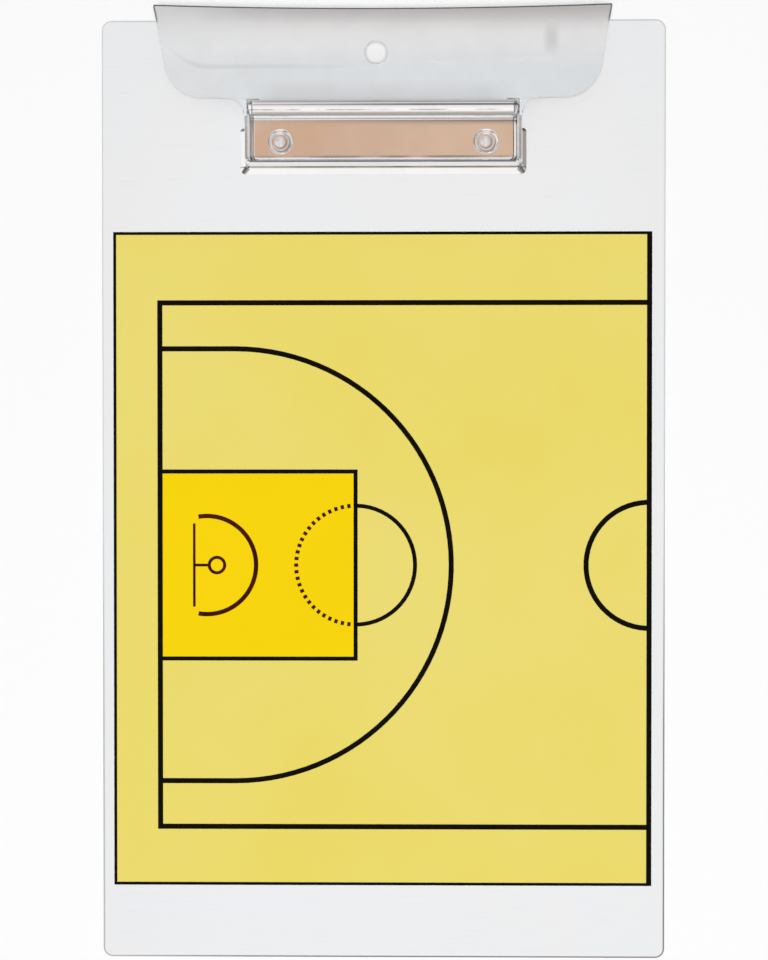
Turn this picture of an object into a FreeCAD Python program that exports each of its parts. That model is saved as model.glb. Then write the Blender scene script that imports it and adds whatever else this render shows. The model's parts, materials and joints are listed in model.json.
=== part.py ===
"""Tactics board: a wipe-clean board with a printed half court and a sprung lever clip.

The origin is the centre of the board's back face. X runs across the board, Y towards the clip and
Z out of the printed face. All sizes are in millimetres and degrees.
"""
import FreeCAD, Part
import math
import os
import re
import Sketcher

# Driving sizes
SIZES = {
    # Board
    "board_width": 240.0,
    "board_length": 400.0,
    "board_corner_radius": 4.0,
    "core_thickness": 2.4,
    "face_thickness": 0.3,
    # Court print
    "ink_thickness": 0.05,
    "half_way_margin": 6.65,
    "court_axis_drop": 32.0,
    "court_length": 208.8,
    "court_half_width": 112.0,
    "court_line": 2.2,
    "border_end_margin": 19.25,
    "border_top_margin": 29.6,
    "border_bottom_margin": 24.5,
    "border_line": 1.25,
    "three_point_reach": 32.05,
    "three_point_radius": 92.4,
    "key_length": 83.6,
    "key_half_width": 40.0,
    "key_line": 1.75,
    "throw_circle_radius": 25.4,
    "dash_line": 1.75,
    "dash_length": 1.45,
    "charge_arc_reach": 20.05,
    "charge_arc_radius": 21.0,
    "charge_arc_line": 1.9,
    "backboard_reach": 14.6,
    "backboard_half_length": 17.8,
    "backboard_line": 1.1,
    "ring_reach": 24.3,
    "ring_radius": 3.3,
    "ring_line": 1.35,
    "ring_arm_line": 1.2,
    "centre_circle_radius": 26.9,
    # Clip base plate, measured from the hinge axis and the board's printed face
    "hinge_setback": 38.4,
    "hinge_height": 4.2,
    "base_width": 114.2,
    "base_front_reach": 22.4,
    "base_rear_reach": 3.6,
    "base_sheet": 0.8,
    "plateau_height": 2.4,
    "hood_height": 10.0,
    "hood_front_reach": 3.7,
    "hood_front_radius": 4.8,
    "hood_foot_radius": 0.5,
    "base_edge_radius": 2.3,
    "base_front_corner_radius": 3.4,
    "base_rear_corner_radius": 2.6,
    "rear_window_return": 3.0,
    "dimple_diameter": 10.0,
    "dimple_floor_diameter": 7.2,
    "dimple_rim_radius": 0.8,
    "dimple_floor_radius": 0.5,
    # Rivets
    "rivet_side_margin": 13.4,
    "rivet_reach": 13.4,
    "rivet_head_diameter": 5.4,
    "rivet_head_height": 1.1,
    "rivet_shank_diameter": 3.0,
    "rivet_tail_diameter": 5.0,
    "rivet_tail_thickness": 0.8,
    "rivet_tail_depth": 0.15,
    # Hinge pin
    "pin_diameter": 2.2,
    "pin_head_diameter": 3.4,
    "pin_head_thickness": 0.5,
    "pin_head_round": 0.3,
    # Torsion springs
    "wire_diameter": 0.9,
    "spring_mean_diameter": 3.6,
    "spring_pitch": 1.6,
    "spring_spacing": 56.0,
    "upper_leg_length": 8.0,
    "lower_leg_length": 7.0,
    # Clip lever
    "lever_sheet": 0.9,
    "lever_flat_length": 16.6,
    "curl_radius": 40.0,
    "lever_tip_width": 190.9,
    "lever_top_sag": 2.0,
    "wing_corner_radius": 15.5,
    "wing_edge_reach": 4.3,
    "neck_fillet_radius": 7.0,
    "neck_front_reach": 3.0,
    "tongue_reach": 2.7,
    "hang_hole_diameter": 9.6,
    "hang_hole_arc": 7.06,
    "hang_hole_offset": -2.9,
    # Side arms and jaw of the lever
    "arm_gap": 0.6,
    "arm_front_height": 4.4,
    "arm_shoulder_reach": 9.0,
    "jaw_front_reach": 27.0,
    "jaw_foot_width": 3.0,
    "jaw_foot_height": 1.4,
    "jaw_side_flare": 2.3,
    "jaw_flare_rear_reach": 7.6,
    "jaw_wall_lean": 1.7,
    "jaw_corner_radius": 2.5,
    # Clearances and the overrun of cuts
    "hole_clearance": 0.05,
    "press_clearance": 0.02,
    "running_clearance": 0.05,
    "rest_clearance": 0.1,
    "sweep_clearance": 0.3,
    "window_clearance": 0.4,
    "tongue_clearance": 1.0,
    "overrun": 1.0,
}

# Driving angles in degrees and counts
ANGLES = {
    "lever_slope": 8.0,
    "curl_end": 49.0,
    "wing_lean": 7.7,
    "charge_arc_turn": 10.0,
}
DASH_COUNT = 27
SPRING_WHOLE_TURNS = 4
QUARTER_TURN = math.pi / 2
HALF_CIRCLE = 180.0

# Sizes that follow from the driving sizes
DERIVED = {
    "board_thickness": "core_thickness + 2 * face_thickness",
    "ink_top": "board_thickness + ink_thickness",
    "half_way_x": "board_width / 2 - half_way_margin",
    "baseline_x": "half_way_x - court_length",
    "border_x": "baseline_x - border_end_margin",
    "court_top_y": "court_half_width - court_axis_drop",
    "court_bottom_y": "-court_half_width - court_axis_drop",
    "border_top_y": "court_top_y + border_top_margin",
    "border_bottom_y": "court_bottom_y - border_bottom_margin",
    "key_front_x": "baseline_x + key_length",
    "hinge_y": "board_length / 2 - hinge_setback",
    "hinge_z": "board_thickness + hinge_height",
    "rivet_y": "hinge_y - rivet_reach",
    "rivet_spacing": "base_width - 2 * rivet_side_margin",
    "rivet_recess_diameter": "rivet_tail_diameter + 2 * rest_clearance",
    "rivet_recess_depth": "rivet_tail_depth + rivet_tail_thickness",
    "spring_outer_radius": "(spring_mean_diameter + wire_diameter) / 2",
    "lever_under": "spring_outer_radius + rest_clearance",
    "lever_over": "lever_under + lever_sheet",
    "lever_middle": "lever_under + lever_sheet / 2",
    "curl_inner_radius": "curl_radius - lever_sheet",
    "curl_y": "hinge_y - (lever_under + curl_radius) * sin(lever_slope) + lever_flat_length * cos(lever_slope)",
    "curl_z": "hinge_z + (lever_under + curl_radius) * cos(lever_slope) + lever_flat_length * sin(lever_slope)",
    "wing_tip_y": "curl_y + curl_radius * sin(curl_end)",
    "wing_corner_y": "hinge_y + wing_edge_reach + wing_corner_radius",
    "wing_side_run": "wing_tip_y - wing_corner_y + wing_corner_radius * sin(wing_lean)",
    "wing_corner_x": "lever_tip_width / 2 - wing_side_run * tan(wing_lean) - wing_corner_radius * cos(wing_lean)",
    "arm_inner": "base_width / 2 + arm_gap",
    "arm_outer": "arm_inner + lever_sheet",
    "neck_clear_y": "hinge_y + base_rear_reach + window_clearance",
    "window_half_width": "base_width / 2 - rear_window_return - base_sheet",
    "window_top": "hinge_z + lever_over / cos(lever_slope) + base_rear_reach * tan(lever_slope) + window_clearance",
    "tongue_half_width": "window_half_width - tongue_clearance",
    "arm_swing_radius": "hinge_height - sweep_clearance",
}

doc = FreeCAD.newDocument("tactics_board")
sheet = doc.addObject("Spreadsheet::Sheet", "size")


def fill_sheet():
    """Writes each size, angle and formula in a row of its own, under its name"""
    rows = {}
    rows.update({name: repr(number) for name, number in SIZES.items()})
    rows.update({name: repr(number) for name, number in ANGLES.items()})
    rows.update({name: "=" + formula for name, formula in DERIVED.items()})
    for row, (name, text) in enumerate(rows.items(), start=1):
        sheet.set("A%d" % row, name)
        sheet.set("B%d" % row, text)
        sheet.setAlias("B%d" % row, name)
    doc.recompute()
    return set(rows)


NAMES = fill_sheet()


def formula(text):
    """An expression with the sheet's name put before each of its sizes"""
    return re.sub(r"[a-z_]+", lambda word: "size." + word.group() if word.group() in NAMES else word.group(), text)


def number(text):
    """The present value of an expression"""
    return float(sheet.evalExpression(formula(text)))


def bind(thing, **properties):
    """Ties properties to expressions; a double underscore stands for the dot in a property's path"""
    for path, text in properties.items():
        thing.setExpression(path.replace("__", "."), formula(text))


def new_body(label):
    body = doc.addObject("PartDesign::Body", label)
    body.Label = label
    return body


def new_sketch(body, name, role, lift="0"):
    """A sketch on one of the body's origin planes, lifted along the plane's normal"""
    sketch = body.newObject("Sketcher::SketchObject", name)
    plane = next(feature for feature in body.Origin.OriginFeatures if feature.Role == role)
    sketch.AttachmentSupport = [(plane, "")]
    sketch.MapMode = "FlatFace"
    bind(sketch, AttachmentOffset__Base__z=lift)
    return sketch


def arc_between(start, end, radius, turn):
    """An arc of under a half circle from start to end; turn is 1 to the left and -1 to the right"""
    chord = end - start
    middle = (start + end) * 0.5
    left = FreeCAD.Vector(-chord.y, chord.x, 0).normalize()
    rise = math.sqrt(max(radius ** 2 - (chord.Length / 2) ** 2, 0.0))
    centre = middle + left * rise * turn
    circle = Part.Circle(centre, FreeCAD.Vector(0, 0, 1), radius)
    first, last = (start, end) if turn > 0 else (end, start)
    return Part.ArcOfCircle(circle, circle.parameter(first), circle.parameter(last))


def draw_outline(sketch, corners):
    """Draws a closed outline. A corner is (x, y) before a straight side, or (x, y, radius, turn) before an arc."""
    spots = [FreeCAD.Vector(number(corner[0]), number(corner[1]), 0) for corner in corners]
    ends = []
    for index, corner in enumerate(corners):
        start = spots[index]
        end = spots[(index + 1) % len(spots)]
        if len(corner) == 2:
            side = sketch.addGeometry(Part.LineSegment(start, end))
            ends.append((side, 1, 2))
            continue
        radius, turn = corner[2:]
        side = sketch.addGeometry(arc_between(start, end, number(radius), turn))
        ends.append((side, 1, 2) if turn > 0 else (side, 2, 1))
        limit = sketch.addConstraint(Sketcher.Constraint("Radius", side, number(radius)))
        sketch.setExpression("Constraints[%d]" % limit, formula(radius))
    for index, (side, first, last) in enumerate(ends):
        following = ends[(index + 1) % len(ends)]
        sketch.addConstraint(Sketcher.Constraint("Coincident", side, last, following[0], following[1]))
        for kind, text in zip(("DistanceX", "DistanceY"), corners[index][:2]):
            place = sketch.addConstraint(Sketcher.Constraint(kind, -1, 1, side, first, number(text)))
            sketch.setExpression("Constraints[%d]" % place, formula(text))


def draw_circle(sketch, x, y, diameter):
    """Draws one circle at a place given by expressions"""
    centre = FreeCAD.Vector(number(x), number(y), 0)
    circle = sketch.addGeometry(Part.Circle(centre, FreeCAD.Vector(0, 0, 1), number(diameter) / 2))
    limits = (
        (Sketcher.Constraint("Diameter", circle, number(diameter)), diameter),
        (Sketcher.Constraint("DistanceX", -1, 1, circle, 3, centre.x), x),
        (Sketcher.Constraint("DistanceY", -1, 1, circle, 3, centre.y), y),
    )
    for limit, text in limits:
        sketch.setExpression("Constraints[%d]" % sketch.addConstraint(limit), formula(text))


def pad(body, sketch, length, midplane=False):
    feature = body.newObject("PartDesign::Pad", sketch.Name + "_pad")
    feature.Profile = sketch
    feature.Midplane = midplane
    bind(feature, Length=length)
    doc.recompute()
    return feature


def pocket(body, sketch, length, upwards=True):
    """Cuts along the sketch's normal, or against it, and makes sure that it took something away"""
    before = body.Shape.Volume
    feature = body.newObject("PartDesign::Pocket", sketch.Name + "_pocket")
    feature.Profile = sketch
    feature.Reversed = upwards
    bind(feature, Length=length)
    doc.recompute()
    if body.Shape.Volume >= before:
        raise RuntimeError("%s cuts nothing" % feature.Name)
    return feature


def round_edges(body, name, radius, wanted):
    """Fillets the edges of the body's tip whose middle point is wanted"""
    base = body.Tip
    chosen = []
    for index, edge in enumerate(base.Shape.Edges, start=1):
        middle = edge.valueAt((edge.FirstParameter + edge.LastParameter) / 2)
        if wanted(edge, middle):
            chosen.append("Edge%d" % index)
    feature = body.newObject("PartDesign::Fillet", name)
    feature.Base = (base, chosen)
    bind(feature, Radius=radius)
    doc.recompute()
    return feature


def box(name, left, right, front, rear, bottom, top):
    """A box between expressions for its six faces"""
    solid = doc.addObject("Part::Box", name)
    bind(
        solid,
        Length="(%s) - (%s)" % (right, left),
        Width="(%s) - (%s)" % (rear, front),
        Height="(%s) - (%s)" % (top, bottom),
        Placement__Base__x=left,
        Placement__Base__y=front,
        Placement__Base__z=bottom,
    )
    return solid


def cylinder(name, x, y, z, radius, height, turn="360", start="0"):
    """An upright cylinder, or a sector of one that starts at an angle from X"""
    solid = doc.addObject("Part::Cylinder", name)
    solid.Placement.Rotation = FreeCAD.Rotation(FreeCAD.Vector(0, 0, 1), 1)
    bind(
        solid,
        Radius=radius,
        Height=height,
        Angle=turn,
        Placement__Base__x=x,
        Placement__Base__y=y,
        Placement__Base__z=z,
        Placement__Rotation__Angle=start,
    )
    return solid


def cross_cylinder(name, y, z, radius, half_length):
    """A cylinder along X, centred across the board"""
    solid = doc.addObject("Part::Cylinder", name)
    solid.Placement.Rotation = FreeCAD.Rotation(FreeCAD.Vector(0, 1, 0), 90)
    bind(
        solid,
        Radius=radius,
        Height="2 * (%s)" % half_length,
        Placement__Base__x="-(%s)" % half_length,
        Placement__Base__y=y,
        Placement__Base__z=z,
    )
    return solid


def cut(name, base, tool):
    result = doc.addObject("Part::Cut", name)
    result.Base = base
    result.Tool = tool
    doc.recompute()
    return result


def common(name, base, tool):
    result = doc.addObject("Part::Common", name)
    result.Base = base
    result.Tool = tool
    doc.recompute()
    return result


def fuse(name, *solids):
    result = doc.addObject("Part::MultiFuse", name)
    result.Shapes = list(solids)
    result.Refine = True
    doc.recompute()
    return result


def group(name, *solids):
    result = doc.addObject("Part::Compound", name)
    result.Links = list(solids)
    doc.recompute()
    return result


def mirrored(name, source):
    """The source reflected from one side of the board to the other"""
    result = doc.addObject("Part::Mirroring", name)
    result.Source = source
    result.Normal = FreeCAD.Vector(1, 0, 0)
    doc.recompute()
    return result


# Board

def board_layer(label, bottom, thickness, hole_diameter):
    """One layer of the board, with a hole for each rivet"""
    body = new_body(label)
    outline = new_sketch(body, label + "_outline", "XY_Plane", bottom)
    side, end, radius = "board_width / 2", "board_length / 2", "board_corner_radius"
    draw_outline(outline, [
        ("-%s" % side, "-%s + %s" % (end, radius), radius, 1),
        ("-%s + %s" % (side, radius), "-%s" % end),
        ("%s - %s" % (side, radius), "-%s" % end, radius, 1),
        (side, "-%s + %s" % (end, radius)),
        (side, "%s - %s" % (end, radius), radius, 1),
        ("%s - %s" % (side, radius), end),
        ("-%s + %s" % (side, radius), end, radius, 1),
        ("-%s" % side, "%s - %s" % (end, radius)),
    ])
    pad(body, outline, thickness)
    holes = new_sketch(body, label + "_holes", "XY_Plane", bottom)
    for sign in ("-", ""):
        draw_circle(holes, sign + "rivet_spacing / 2", "rivet_y", hole_diameter)
    pocket(body, holes, thickness)
    return body


def make_board():
    shank_hole = "rivet_shank_diameter + 2 * hole_clearance"
    back = board_layer("back_face_sheet", "0", "face_thickness", "rivet_recess_diameter")
    core = board_layer("board_core", "face_thickness", "core_thickness", shank_hole)
    front = board_layer("front_face_sheet", "face_thickness + core_thickness", "face_thickness", shank_hole)
    recesses = new_sketch(core, "board_core_recesses", "XY_Plane", "face_thickness")
    for sign in ("-", ""):
        draw_circle(recesses, sign + "rivet_spacing / 2", "rivet_y", "rivet_recess_diameter")
    pocket(core, recesses, "rivet_recess_depth - face_thickness")
    return [back, core, front]


# Court print

def stripe(name, start, end, width):
    """A straight printed line between two places, along X or along Y"""
    half = "(%s) / 2" % width
    along_x = start[1] == end[1]
    spread_x, spread_y = ("0", half) if along_x else (half, "0")
    return box(
        name,
        "%s - %s" % (start[0], spread_x), "%s + %s" % (end[0], spread_x),
        "%s - %s" % (start[1], spread_y), "%s + %s" % (end[1], spread_y),
        "ink_top", "ink_top + ink_thickness",
    )


def printed_arc(name, x, radius, width, start, turn):
    """A printed arc about a place on the court's axis"""
    place = (x, "-court_axis_drop", "ink_top")
    outer = cylinder(name + "_outer", *place, "%s + (%s) / 2" % (radius, width), "ink_thickness", turn, start)
    inner = cylinder(name + "_inner", *place, "%s - (%s) / 2" % (radius, width), "ink_thickness", turn, start)
    return cut(name, outer, inner)


def make_court_lines():
    """The border, the half-way line and all solid lines of the half court, as one printed layer"""
    border = "border_line / 2"
    court = "court_line / 2"
    left, right, top, bottom = "border_x", "half_way_x", "border_top_y", "border_bottom_y"
    start, upper, lower = "baseline_x", "court_top_y", "court_bottom_y"
    key_top, key_bottom = "key_half_width - court_axis_drop", "-key_half_width - court_axis_drop"
    arc_x = "baseline_x + three_point_reach"
    arc_top, arc_bottom = "three_point_radius - court_axis_drop", "-three_point_radius - court_axis_drop"
    corner, past = "%s - %s" % (left, border), "%s + %s" % (right, court)
    lines = [
        stripe("border_left", (left, "%s - %s" % (bottom, border)), (left, "%s + %s" % (top, border)), "border_line"),
        stripe("border_top", (corner, top), (past, top), "border_line"),
        stripe("border_bottom", (corner, bottom), (past, bottom), "border_line"),
        stripe("half_way", (right, "%s - %s" % (bottom, border)), (right, "%s + %s" % (top, border)), "court_line"),
        stripe("baseline", (start, "%s - %s" % (lower, court)), (start, "%s + %s" % (upper, court)), "court_line"),
        stripe("sideline_top", (start, upper), (right, upper), "court_line"),
        stripe("sideline_bottom", (start, lower), (right, lower), "court_line"),
        stripe("three_point_top", (start, arc_top), (arc_x, arc_top), "court_line"),
        stripe("three_point_bottom", (start, arc_bottom), (arc_x, arc_bottom), "court_line"),
        stripe("key_top", (start, key_top), ("key_front_x + key_line / 2", key_top), "key_line"),
        stripe("key_bottom", (start, key_bottom), ("key_front_x + key_line / 2", key_bottom), "key_line"),
        stripe("key_front", ("key_front_x", key_bottom), ("key_front_x", key_top), "key_line"),
        printed_arc("three_point_arc", arc_x, "three_point_radius", "court_line", "-90", "180"),
        printed_arc("throw_arc", "key_front_x", "throw_circle_radius", "key_line", "-90", "180"),
        printed_arc("centre_arc", right, "centre_circle_radius", "court_line", "90", "180"),
    ]
    return fuse("court_line_print", *lines)


def make_basket_marks():
    """The backboard with its arm and ring, and the no-charge arc round them"""
    board_x, ring_x = "baseline_x + backboard_reach", "baseline_x + ring_reach"
    axis = "-court_axis_drop"
    board = stripe(
        "backboard",
        (board_x, "%s - backboard_half_length" % axis), (board_x, "%s + backboard_half_length" % axis),
        "backboard_line",
    )
    arm = stripe("ring_arm", (board_x, axis), ("%s - ring_radius" % ring_x, axis), "ring_arm_line")
    ring = printed_arc("ring", ring_x, "ring_radius", "ring_line", "0", "360")
    arc = printed_arc(
        "charge_arc", "baseline_x + charge_arc_reach", "charge_arc_radius", "charge_arc_line",
        "-90 - charge_arc_turn", "180 + 2 * charge_arc_turn",
    )
    return group("basket_print", fuse("basket_mark", board, arm, ring), arc)


def make_throw_dashes():
    """The dashed half of the free-throw circle, evenly spaced inside the key"""
    dashes = []
    step = HALF_CIRCLE / (DASH_COUNT + 1)
    for index in range(DASH_COUNT):
        dash = doc.addObject("Part::Box", "throw_dash_%d" % (index + 1))
        angle = HALF_CIRCLE / 2 + step * (index + 1)
        dash.Placement.Rotation = FreeCAD.Rotation(FreeCAD.Vector(0, 0, 1), angle)
        inner = "(throw_circle_radius - dash_line / 2)"
        bind(
            dash,
            Length="dash_line",
            Width="dash_length",
            Height="ink_thickness",
            Placement__Base__x="key_front_x + %s * cos(%r) + dash_length / 2 * sin(%r)" % (inner, angle, angle),
            Placement__Base__y="-court_axis_drop + %s * sin(%r) - dash_length / 2 * cos(%r)" % (inner, angle, angle),
            Placement__Base__z="ink_top",
        )
        dashes.append(dash)
    return group("throw_dash_print", *dashes)


def make_court():
    """Pale field on the front sheet, then the key and the lines side by side on the field"""
    field = box(
        "court_field_print",
        "border_x - border_line / 2", "half_way_x + court_line / 2",
        "border_bottom_y - border_line / 2", "border_top_y + border_line / 2",
        "board_thickness", "ink_top",
    )
    area = box(
        "key_area",
        "baseline_x + court_line / 2", "key_front_x - key_line / 2",
        "-court_axis_drop - key_half_width + key_line / 2", "-court_axis_drop + key_half_width - key_line / 2",
        "ink_top", "ink_top + ink_thickness",
    )
    lines = make_court_lines()
    basket = make_basket_marks()
    dashes = make_throw_dashes()
    key = cut("key_print", cut("key_without_basket", area, basket), dashes)
    return [field, lines, basket, dashes, key]


# Clip base plate

def base_block(label, inset):
    """The outer form of the base plate, or its hollow where inset is the sheet's thickness"""
    body = new_body(label)
    profile = new_sketch(body, label + "_profile", "YZ_Plane")
    front = "hinge_y - base_front_reach + %s" % inset
    rear = "hinge_y + base_rear_reach - %s" % inset
    plateau = "board_thickness + plateau_height - %s" % inset
    crest = "board_thickness + hood_height - %s" % inset
    wall = "hinge_y - hood_front_reach + %s" % inset
    foot = "hinge_y - hood_front_reach - hood_foot_radius"
    turn_z = "board_thickness + hood_height - hood_front_radius"
    draw_outline(profile, [
        (front, "board_thickness"),
        (rear, "board_thickness"),
        (rear, crest),
        ("hinge_y - hood_front_reach + hood_front_radius", crest, "hood_front_radius - %s" % inset, 1),
        (wall, turn_z),
        (wall, "board_thickness + plateau_height + hood_foot_radius", "hood_foot_radius + %s" % inset, -1),
        (foot, plateau),
        (front, plateau),
    ])
    pad(body, profile, "base_width - 2 * %s" % inset, midplane=True)
    floor = number("board_thickness")
    middle_y = number("hinge_y - hood_front_reach")

    def upright(edge, middle):
        first, last = (vertex.Point for vertex in edge.Vertexes[:2])
        nothing = Part.Precision.confusion()
        return min(first.z, last.z) <= floor + nothing and abs(first.z - last.z) > nothing

    def at_front(edge, middle):
        return upright(edge, middle) and middle.y < middle_y

    def at_rear(edge, middle):
        return upright(edge, middle) and middle.y > middle_y

    round_edges(body, label + "_front_corners", "base_front_corner_radius - %s" % inset, at_front)
    round_edges(body, label + "_rear_corners", "base_rear_corner_radius - %s" % inset, at_rear)
    half = number("base_width / 2 - %s - (base_front_corner_radius - %s)" % (inset, inset))

    def on_top_outline(edge, middle):
        if middle.z <= floor + Part.Precision.confusion() or upright(edge, middle):
            return False
        ends = [vertex.Point for vertex in edge.Vertexes]
        across = abs(ends[0].x + ends[-1].x) < Part.Precision.confusion()
        level = number("board_thickness + plateau_height - %s" % inset)
        if across:
            at_front_edge = abs(middle.y - number(front)) < Part.Precision.confusion()
            at_rear_edge = abs(middle.y - number(rear)) < Part.Precision.confusion()
            return (at_front_edge and abs(middle.z - level) < Part.Precision.confusion()) or at_rear_edge
        return abs(middle.x) > half

    round_edges(body, label + "_top", "base_edge_radius - %s" % inset, on_top_outline)
    return body


def make_base_plate():
    outer = base_block("base_outer", "0")
    hollow = base_block("base_hollow", "base_sheet")
    shell = cut("base_shell", outer, hollow)
    window = box(
        "base_window",
        "-window_half_width", "window_half_width",
        "hinge_y + base_rear_reach - base_edge_radius", "hinge_y + base_rear_reach + overrun",
        "board_thickness", "window_top",
    )
    cups, pits = [], []
    for name, x in (("left", "-rivet_spacing / 2"), ("right", "rivet_spacing / 2")):
        for pieces, kind, lift in ((cups, "cup", "0"), (pits, "pit", "base_sheet")):
            cone = doc.addObject("Part::Cone", "%s_dimple_%s" % (name, kind))
            bind(
                cone,
                Radius1="dimple_floor_diameter / 2",
                Radius2="dimple_diameter / 2",
                Height="plateau_height - base_sheet",
                Placement__Base__x=x,
                Placement__Base__y="rivet_y",
                Placement__Base__z="board_thickness + %s" % lift,
            )
            pieces.append(cone)
        pits.append(cylinder(
            name + "_rivet_hole", x, "rivet_y", "board_thickness",
            "rivet_shank_diameter / 2 + hole_clearance", "plateau_height",
        ))
    pin_hole = cross_cylinder(
        "base_pin_hole", "hinge_y", "hinge_z", "pin_diameter / 2 + press_clearance", "base_width / 2 + overrun",
    )
    dimpled = fuse("base_dimpled", cut("base_opened", shell, window), *cups)
    pierced = cut("base_pierced", dimpled, fuse("base_openings", *pits, pin_hole))
    rounded = doc.addObject("Part::Fillet", "clip_base_plate")
    rounded.Base = pierced
    rounded.Edges = [
        *ring_edges(pierced, "dimple_diameter", "board_thickness + plateau_height", "dimple_rim_radius"),
        *ring_edges(pierced, "dimple_floor_diameter", "board_thickness + base_sheet", "dimple_floor_radius"),
    ]
    doc.recompute()
    return rounded


def ring_edges(base, diameter, height, radius):
    """The round edges of a solid that have a diameter and lie at a height, each with its fillet's radius"""
    nothing = Part.Precision.confusion()
    found = []
    for index, edge in enumerate(base.Shape.Edges, start=1):
        if not isinstance(edge.Curve, Part.Circle):
            continue
        as_wide = abs(edge.Curve.Radius - number(diameter) / 2) < nothing
        if as_wide and abs(edge.Curve.Center.z - number(height)) < nothing:
            found.append((index, number(radius), number(radius)))
    return found


# Rivets and hinge pin

def make_rivets():
    """Two rivets, each with a domed head in its dimple and a tail sunk in the board's back"""
    body = new_body("right_rivet")
    profile = new_sketch(body, "rivet_profile", "XZ_Plane", "-rivet_y")
    seat = "board_thickness + base_sheet"
    head_radius, shank_radius, tail_radius = (
        "rivet_%s_diameter / 2" % part for part in ("head", "shank", "tail")
    )
    x = "rivet_spacing / 2"
    dome = "((%s) ^ 2 + rivet_head_height ^ 2) / (2 * rivet_head_height)" % head_radius
    draw_outline(profile, [
        (x, "rivet_tail_depth"),
        ("%s + %s" % (x, tail_radius), "rivet_tail_depth"),
        ("%s + %s" % (x, tail_radius), "rivet_tail_depth + rivet_tail_thickness"),
        ("%s + %s" % (x, shank_radius), "rivet_tail_depth + rivet_tail_thickness"),
        ("%s + %s" % (x, shank_radius), seat),
        ("%s + %s" % (x, head_radius), seat, dome, 1),
        (x, "%s + rivet_head_height" % seat),
    ])
    axis = profile.addGeometry(Part.LineSegment(
        FreeCAD.Vector(number(x), 0, 0), FreeCAD.Vector(number(x), number(seat), 0),
    ), True)
    profile.addConstraint(Sketcher.Constraint("Vertical", axis))
    profile.addConstraint(Sketcher.Constraint("PointOnObject", axis, 1, -1))
    place = profile.addConstraint(Sketcher.Constraint("DistanceX", -1, 1, axis, 1, number(x)))
    profile.setExpression("Constraints[%d]" % place, formula(x))
    length = profile.addConstraint(Sketcher.Constraint("Distance", axis, number(seat)))
    profile.setExpression("Constraints[%d]" % length, formula(seat))
    turned = body.newObject("PartDesign::Revolution", "rivet_turned")
    turned.Profile = profile
    turned.ReferenceAxis = (profile, ["Axis0"])
    doc.recompute()
    return group("rivets", mirrored("left_rivet", body), body)


def make_pin():
    """A plain pin with a thin rounded head outside each arm"""
    shank = cross_cylinder("pin_shank", "hinge_y", "hinge_z", "pin_diameter / 2", "arm_outer + rest_clearance")
    heads = []
    for name, x in (
        ("left", "-arm_outer - rest_clearance - pin_head_thickness"),
        ("right", "arm_outer + rest_clearance"),
    ):
        head = doc.addObject("Part::Cylinder", name + "_pin_head")
        head.Placement.Rotation = FreeCAD.Rotation(FreeCAD.Vector(0, 1, 0), 90)
        bind(
            head,
            Radius="pin_head_diameter / 2",
            Height="pin_head_thickness",
            Placement__Base__x=x,
            Placement__Base__y="hinge_y",
            Placement__Base__z="hinge_z",
        )
        heads.append(head)
    joined = fuse("pin_joined", shank, *heads)
    rounded = doc.addObject("Part::Fillet", "hinge_pin")
    rounded.Base = joined
    outer = number("arm_outer + rest_clearance + pin_head_thickness")
    radius = number("pin_head_round")
    rounded.Edges = [
        (index, radius, radius)
        for index, edge in enumerate(joined.Shape.Edges, start=1)
        if len(edge.Vertexes) == 1 and abs(abs(edge.Vertexes[0].X) - outer) < Part.Precision.confusion()
    ]
    doc.recompute()
    return rounded


# Torsion springs

def biarc(start, start_way, end, end_way):
    """Two arcs that leave start and reach end along the given unit directions"""
    chord = end - start
    ways = start_way + end_way
    square = 2 * (1 - start_way.dot(end_way))
    reach = chord.dot(ways)
    arm = (-reach + math.sqrt(reach ** 2 + square * chord.dot(chord))) / square
    join = (start + end + (start_way - end_way) * arm) * 0.5
    arcs = []
    for first, way, last in ((start, start_way, join), (join, (end - end_way * arm - join).normalize(), end)):
        span = last - first
        across = (span - way * span.dot(way)).normalize()
        radius = span.dot(span) / (2 * span.dot(across))
        centre = first + across * radius
        towards = ((first + last) * 0.5 - centre).normalize()
        arcs.append(Part.Arc(first, centre + towards * radius, last).toShape())
    return arcs


def spring_path():
    """The right spring's centre line: lower leg, coil wound about the hinge axis, upper leg"""
    radius = number("spring_mean_diameter / 2")
    pitch = number("spring_pitch")
    lower, upper = number("lower_leg_length"), number("upper_leg_length")
    drop = number("hinge_height - wire_diameter / 2 - rest_clearance")
    fall = math.atan2(lower, radius) - math.acos(drop / math.hypot(radius, lower))
    slope = math.radians(number("lever_slope"))
    first = 3 * QUARTER_TURN - fall
    last = QUARTER_TURN + slope - SPRING_WHOLE_TURNS * 4 * QUARTER_TURN
    per_radian = pitch / (4 * QUARTER_TURN)
    x_start = number("spring_spacing / 2") - (first - last) * per_radian / 2
    hinge_y, hinge_z = number("hinge_y"), number("hinge_z")

    def spot(angle):
        along = x_start + (first - angle) * per_radian
        return FreeCAD.Vector(along, hinge_y + radius * math.cos(angle), hinge_z + radius * math.sin(angle))

    def way(angle, advance):
        turning = FreeCAD.Vector(advance, radius * math.sin(angle), -radius * math.cos(angle))
        return turning.normalize()

    count = math.ceil((first - last) / QUARTER_TURN)
    angles = [first + (last - first) * index / count for index in range(count + 1)]
    ways = [way(angle, per_radian) for angle in angles]
    ways[0] = way(first, 0)
    ways[-1] = way(last, 0)
    foot = spot(first) - ways[0] * lower
    tip = spot(last) + ways[-1] * upper
    edges = [Part.LineSegment(foot, spot(first)).toShape()]
    for index in range(count):
        edges += biarc(spot(angles[index]), ways[index], spot(angles[index + 1]), ways[index + 1])
    edges.append(Part.LineSegment(spot(last), tip).toShape())
    return Part.Wire(edges), foot, ways[0]


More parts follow.
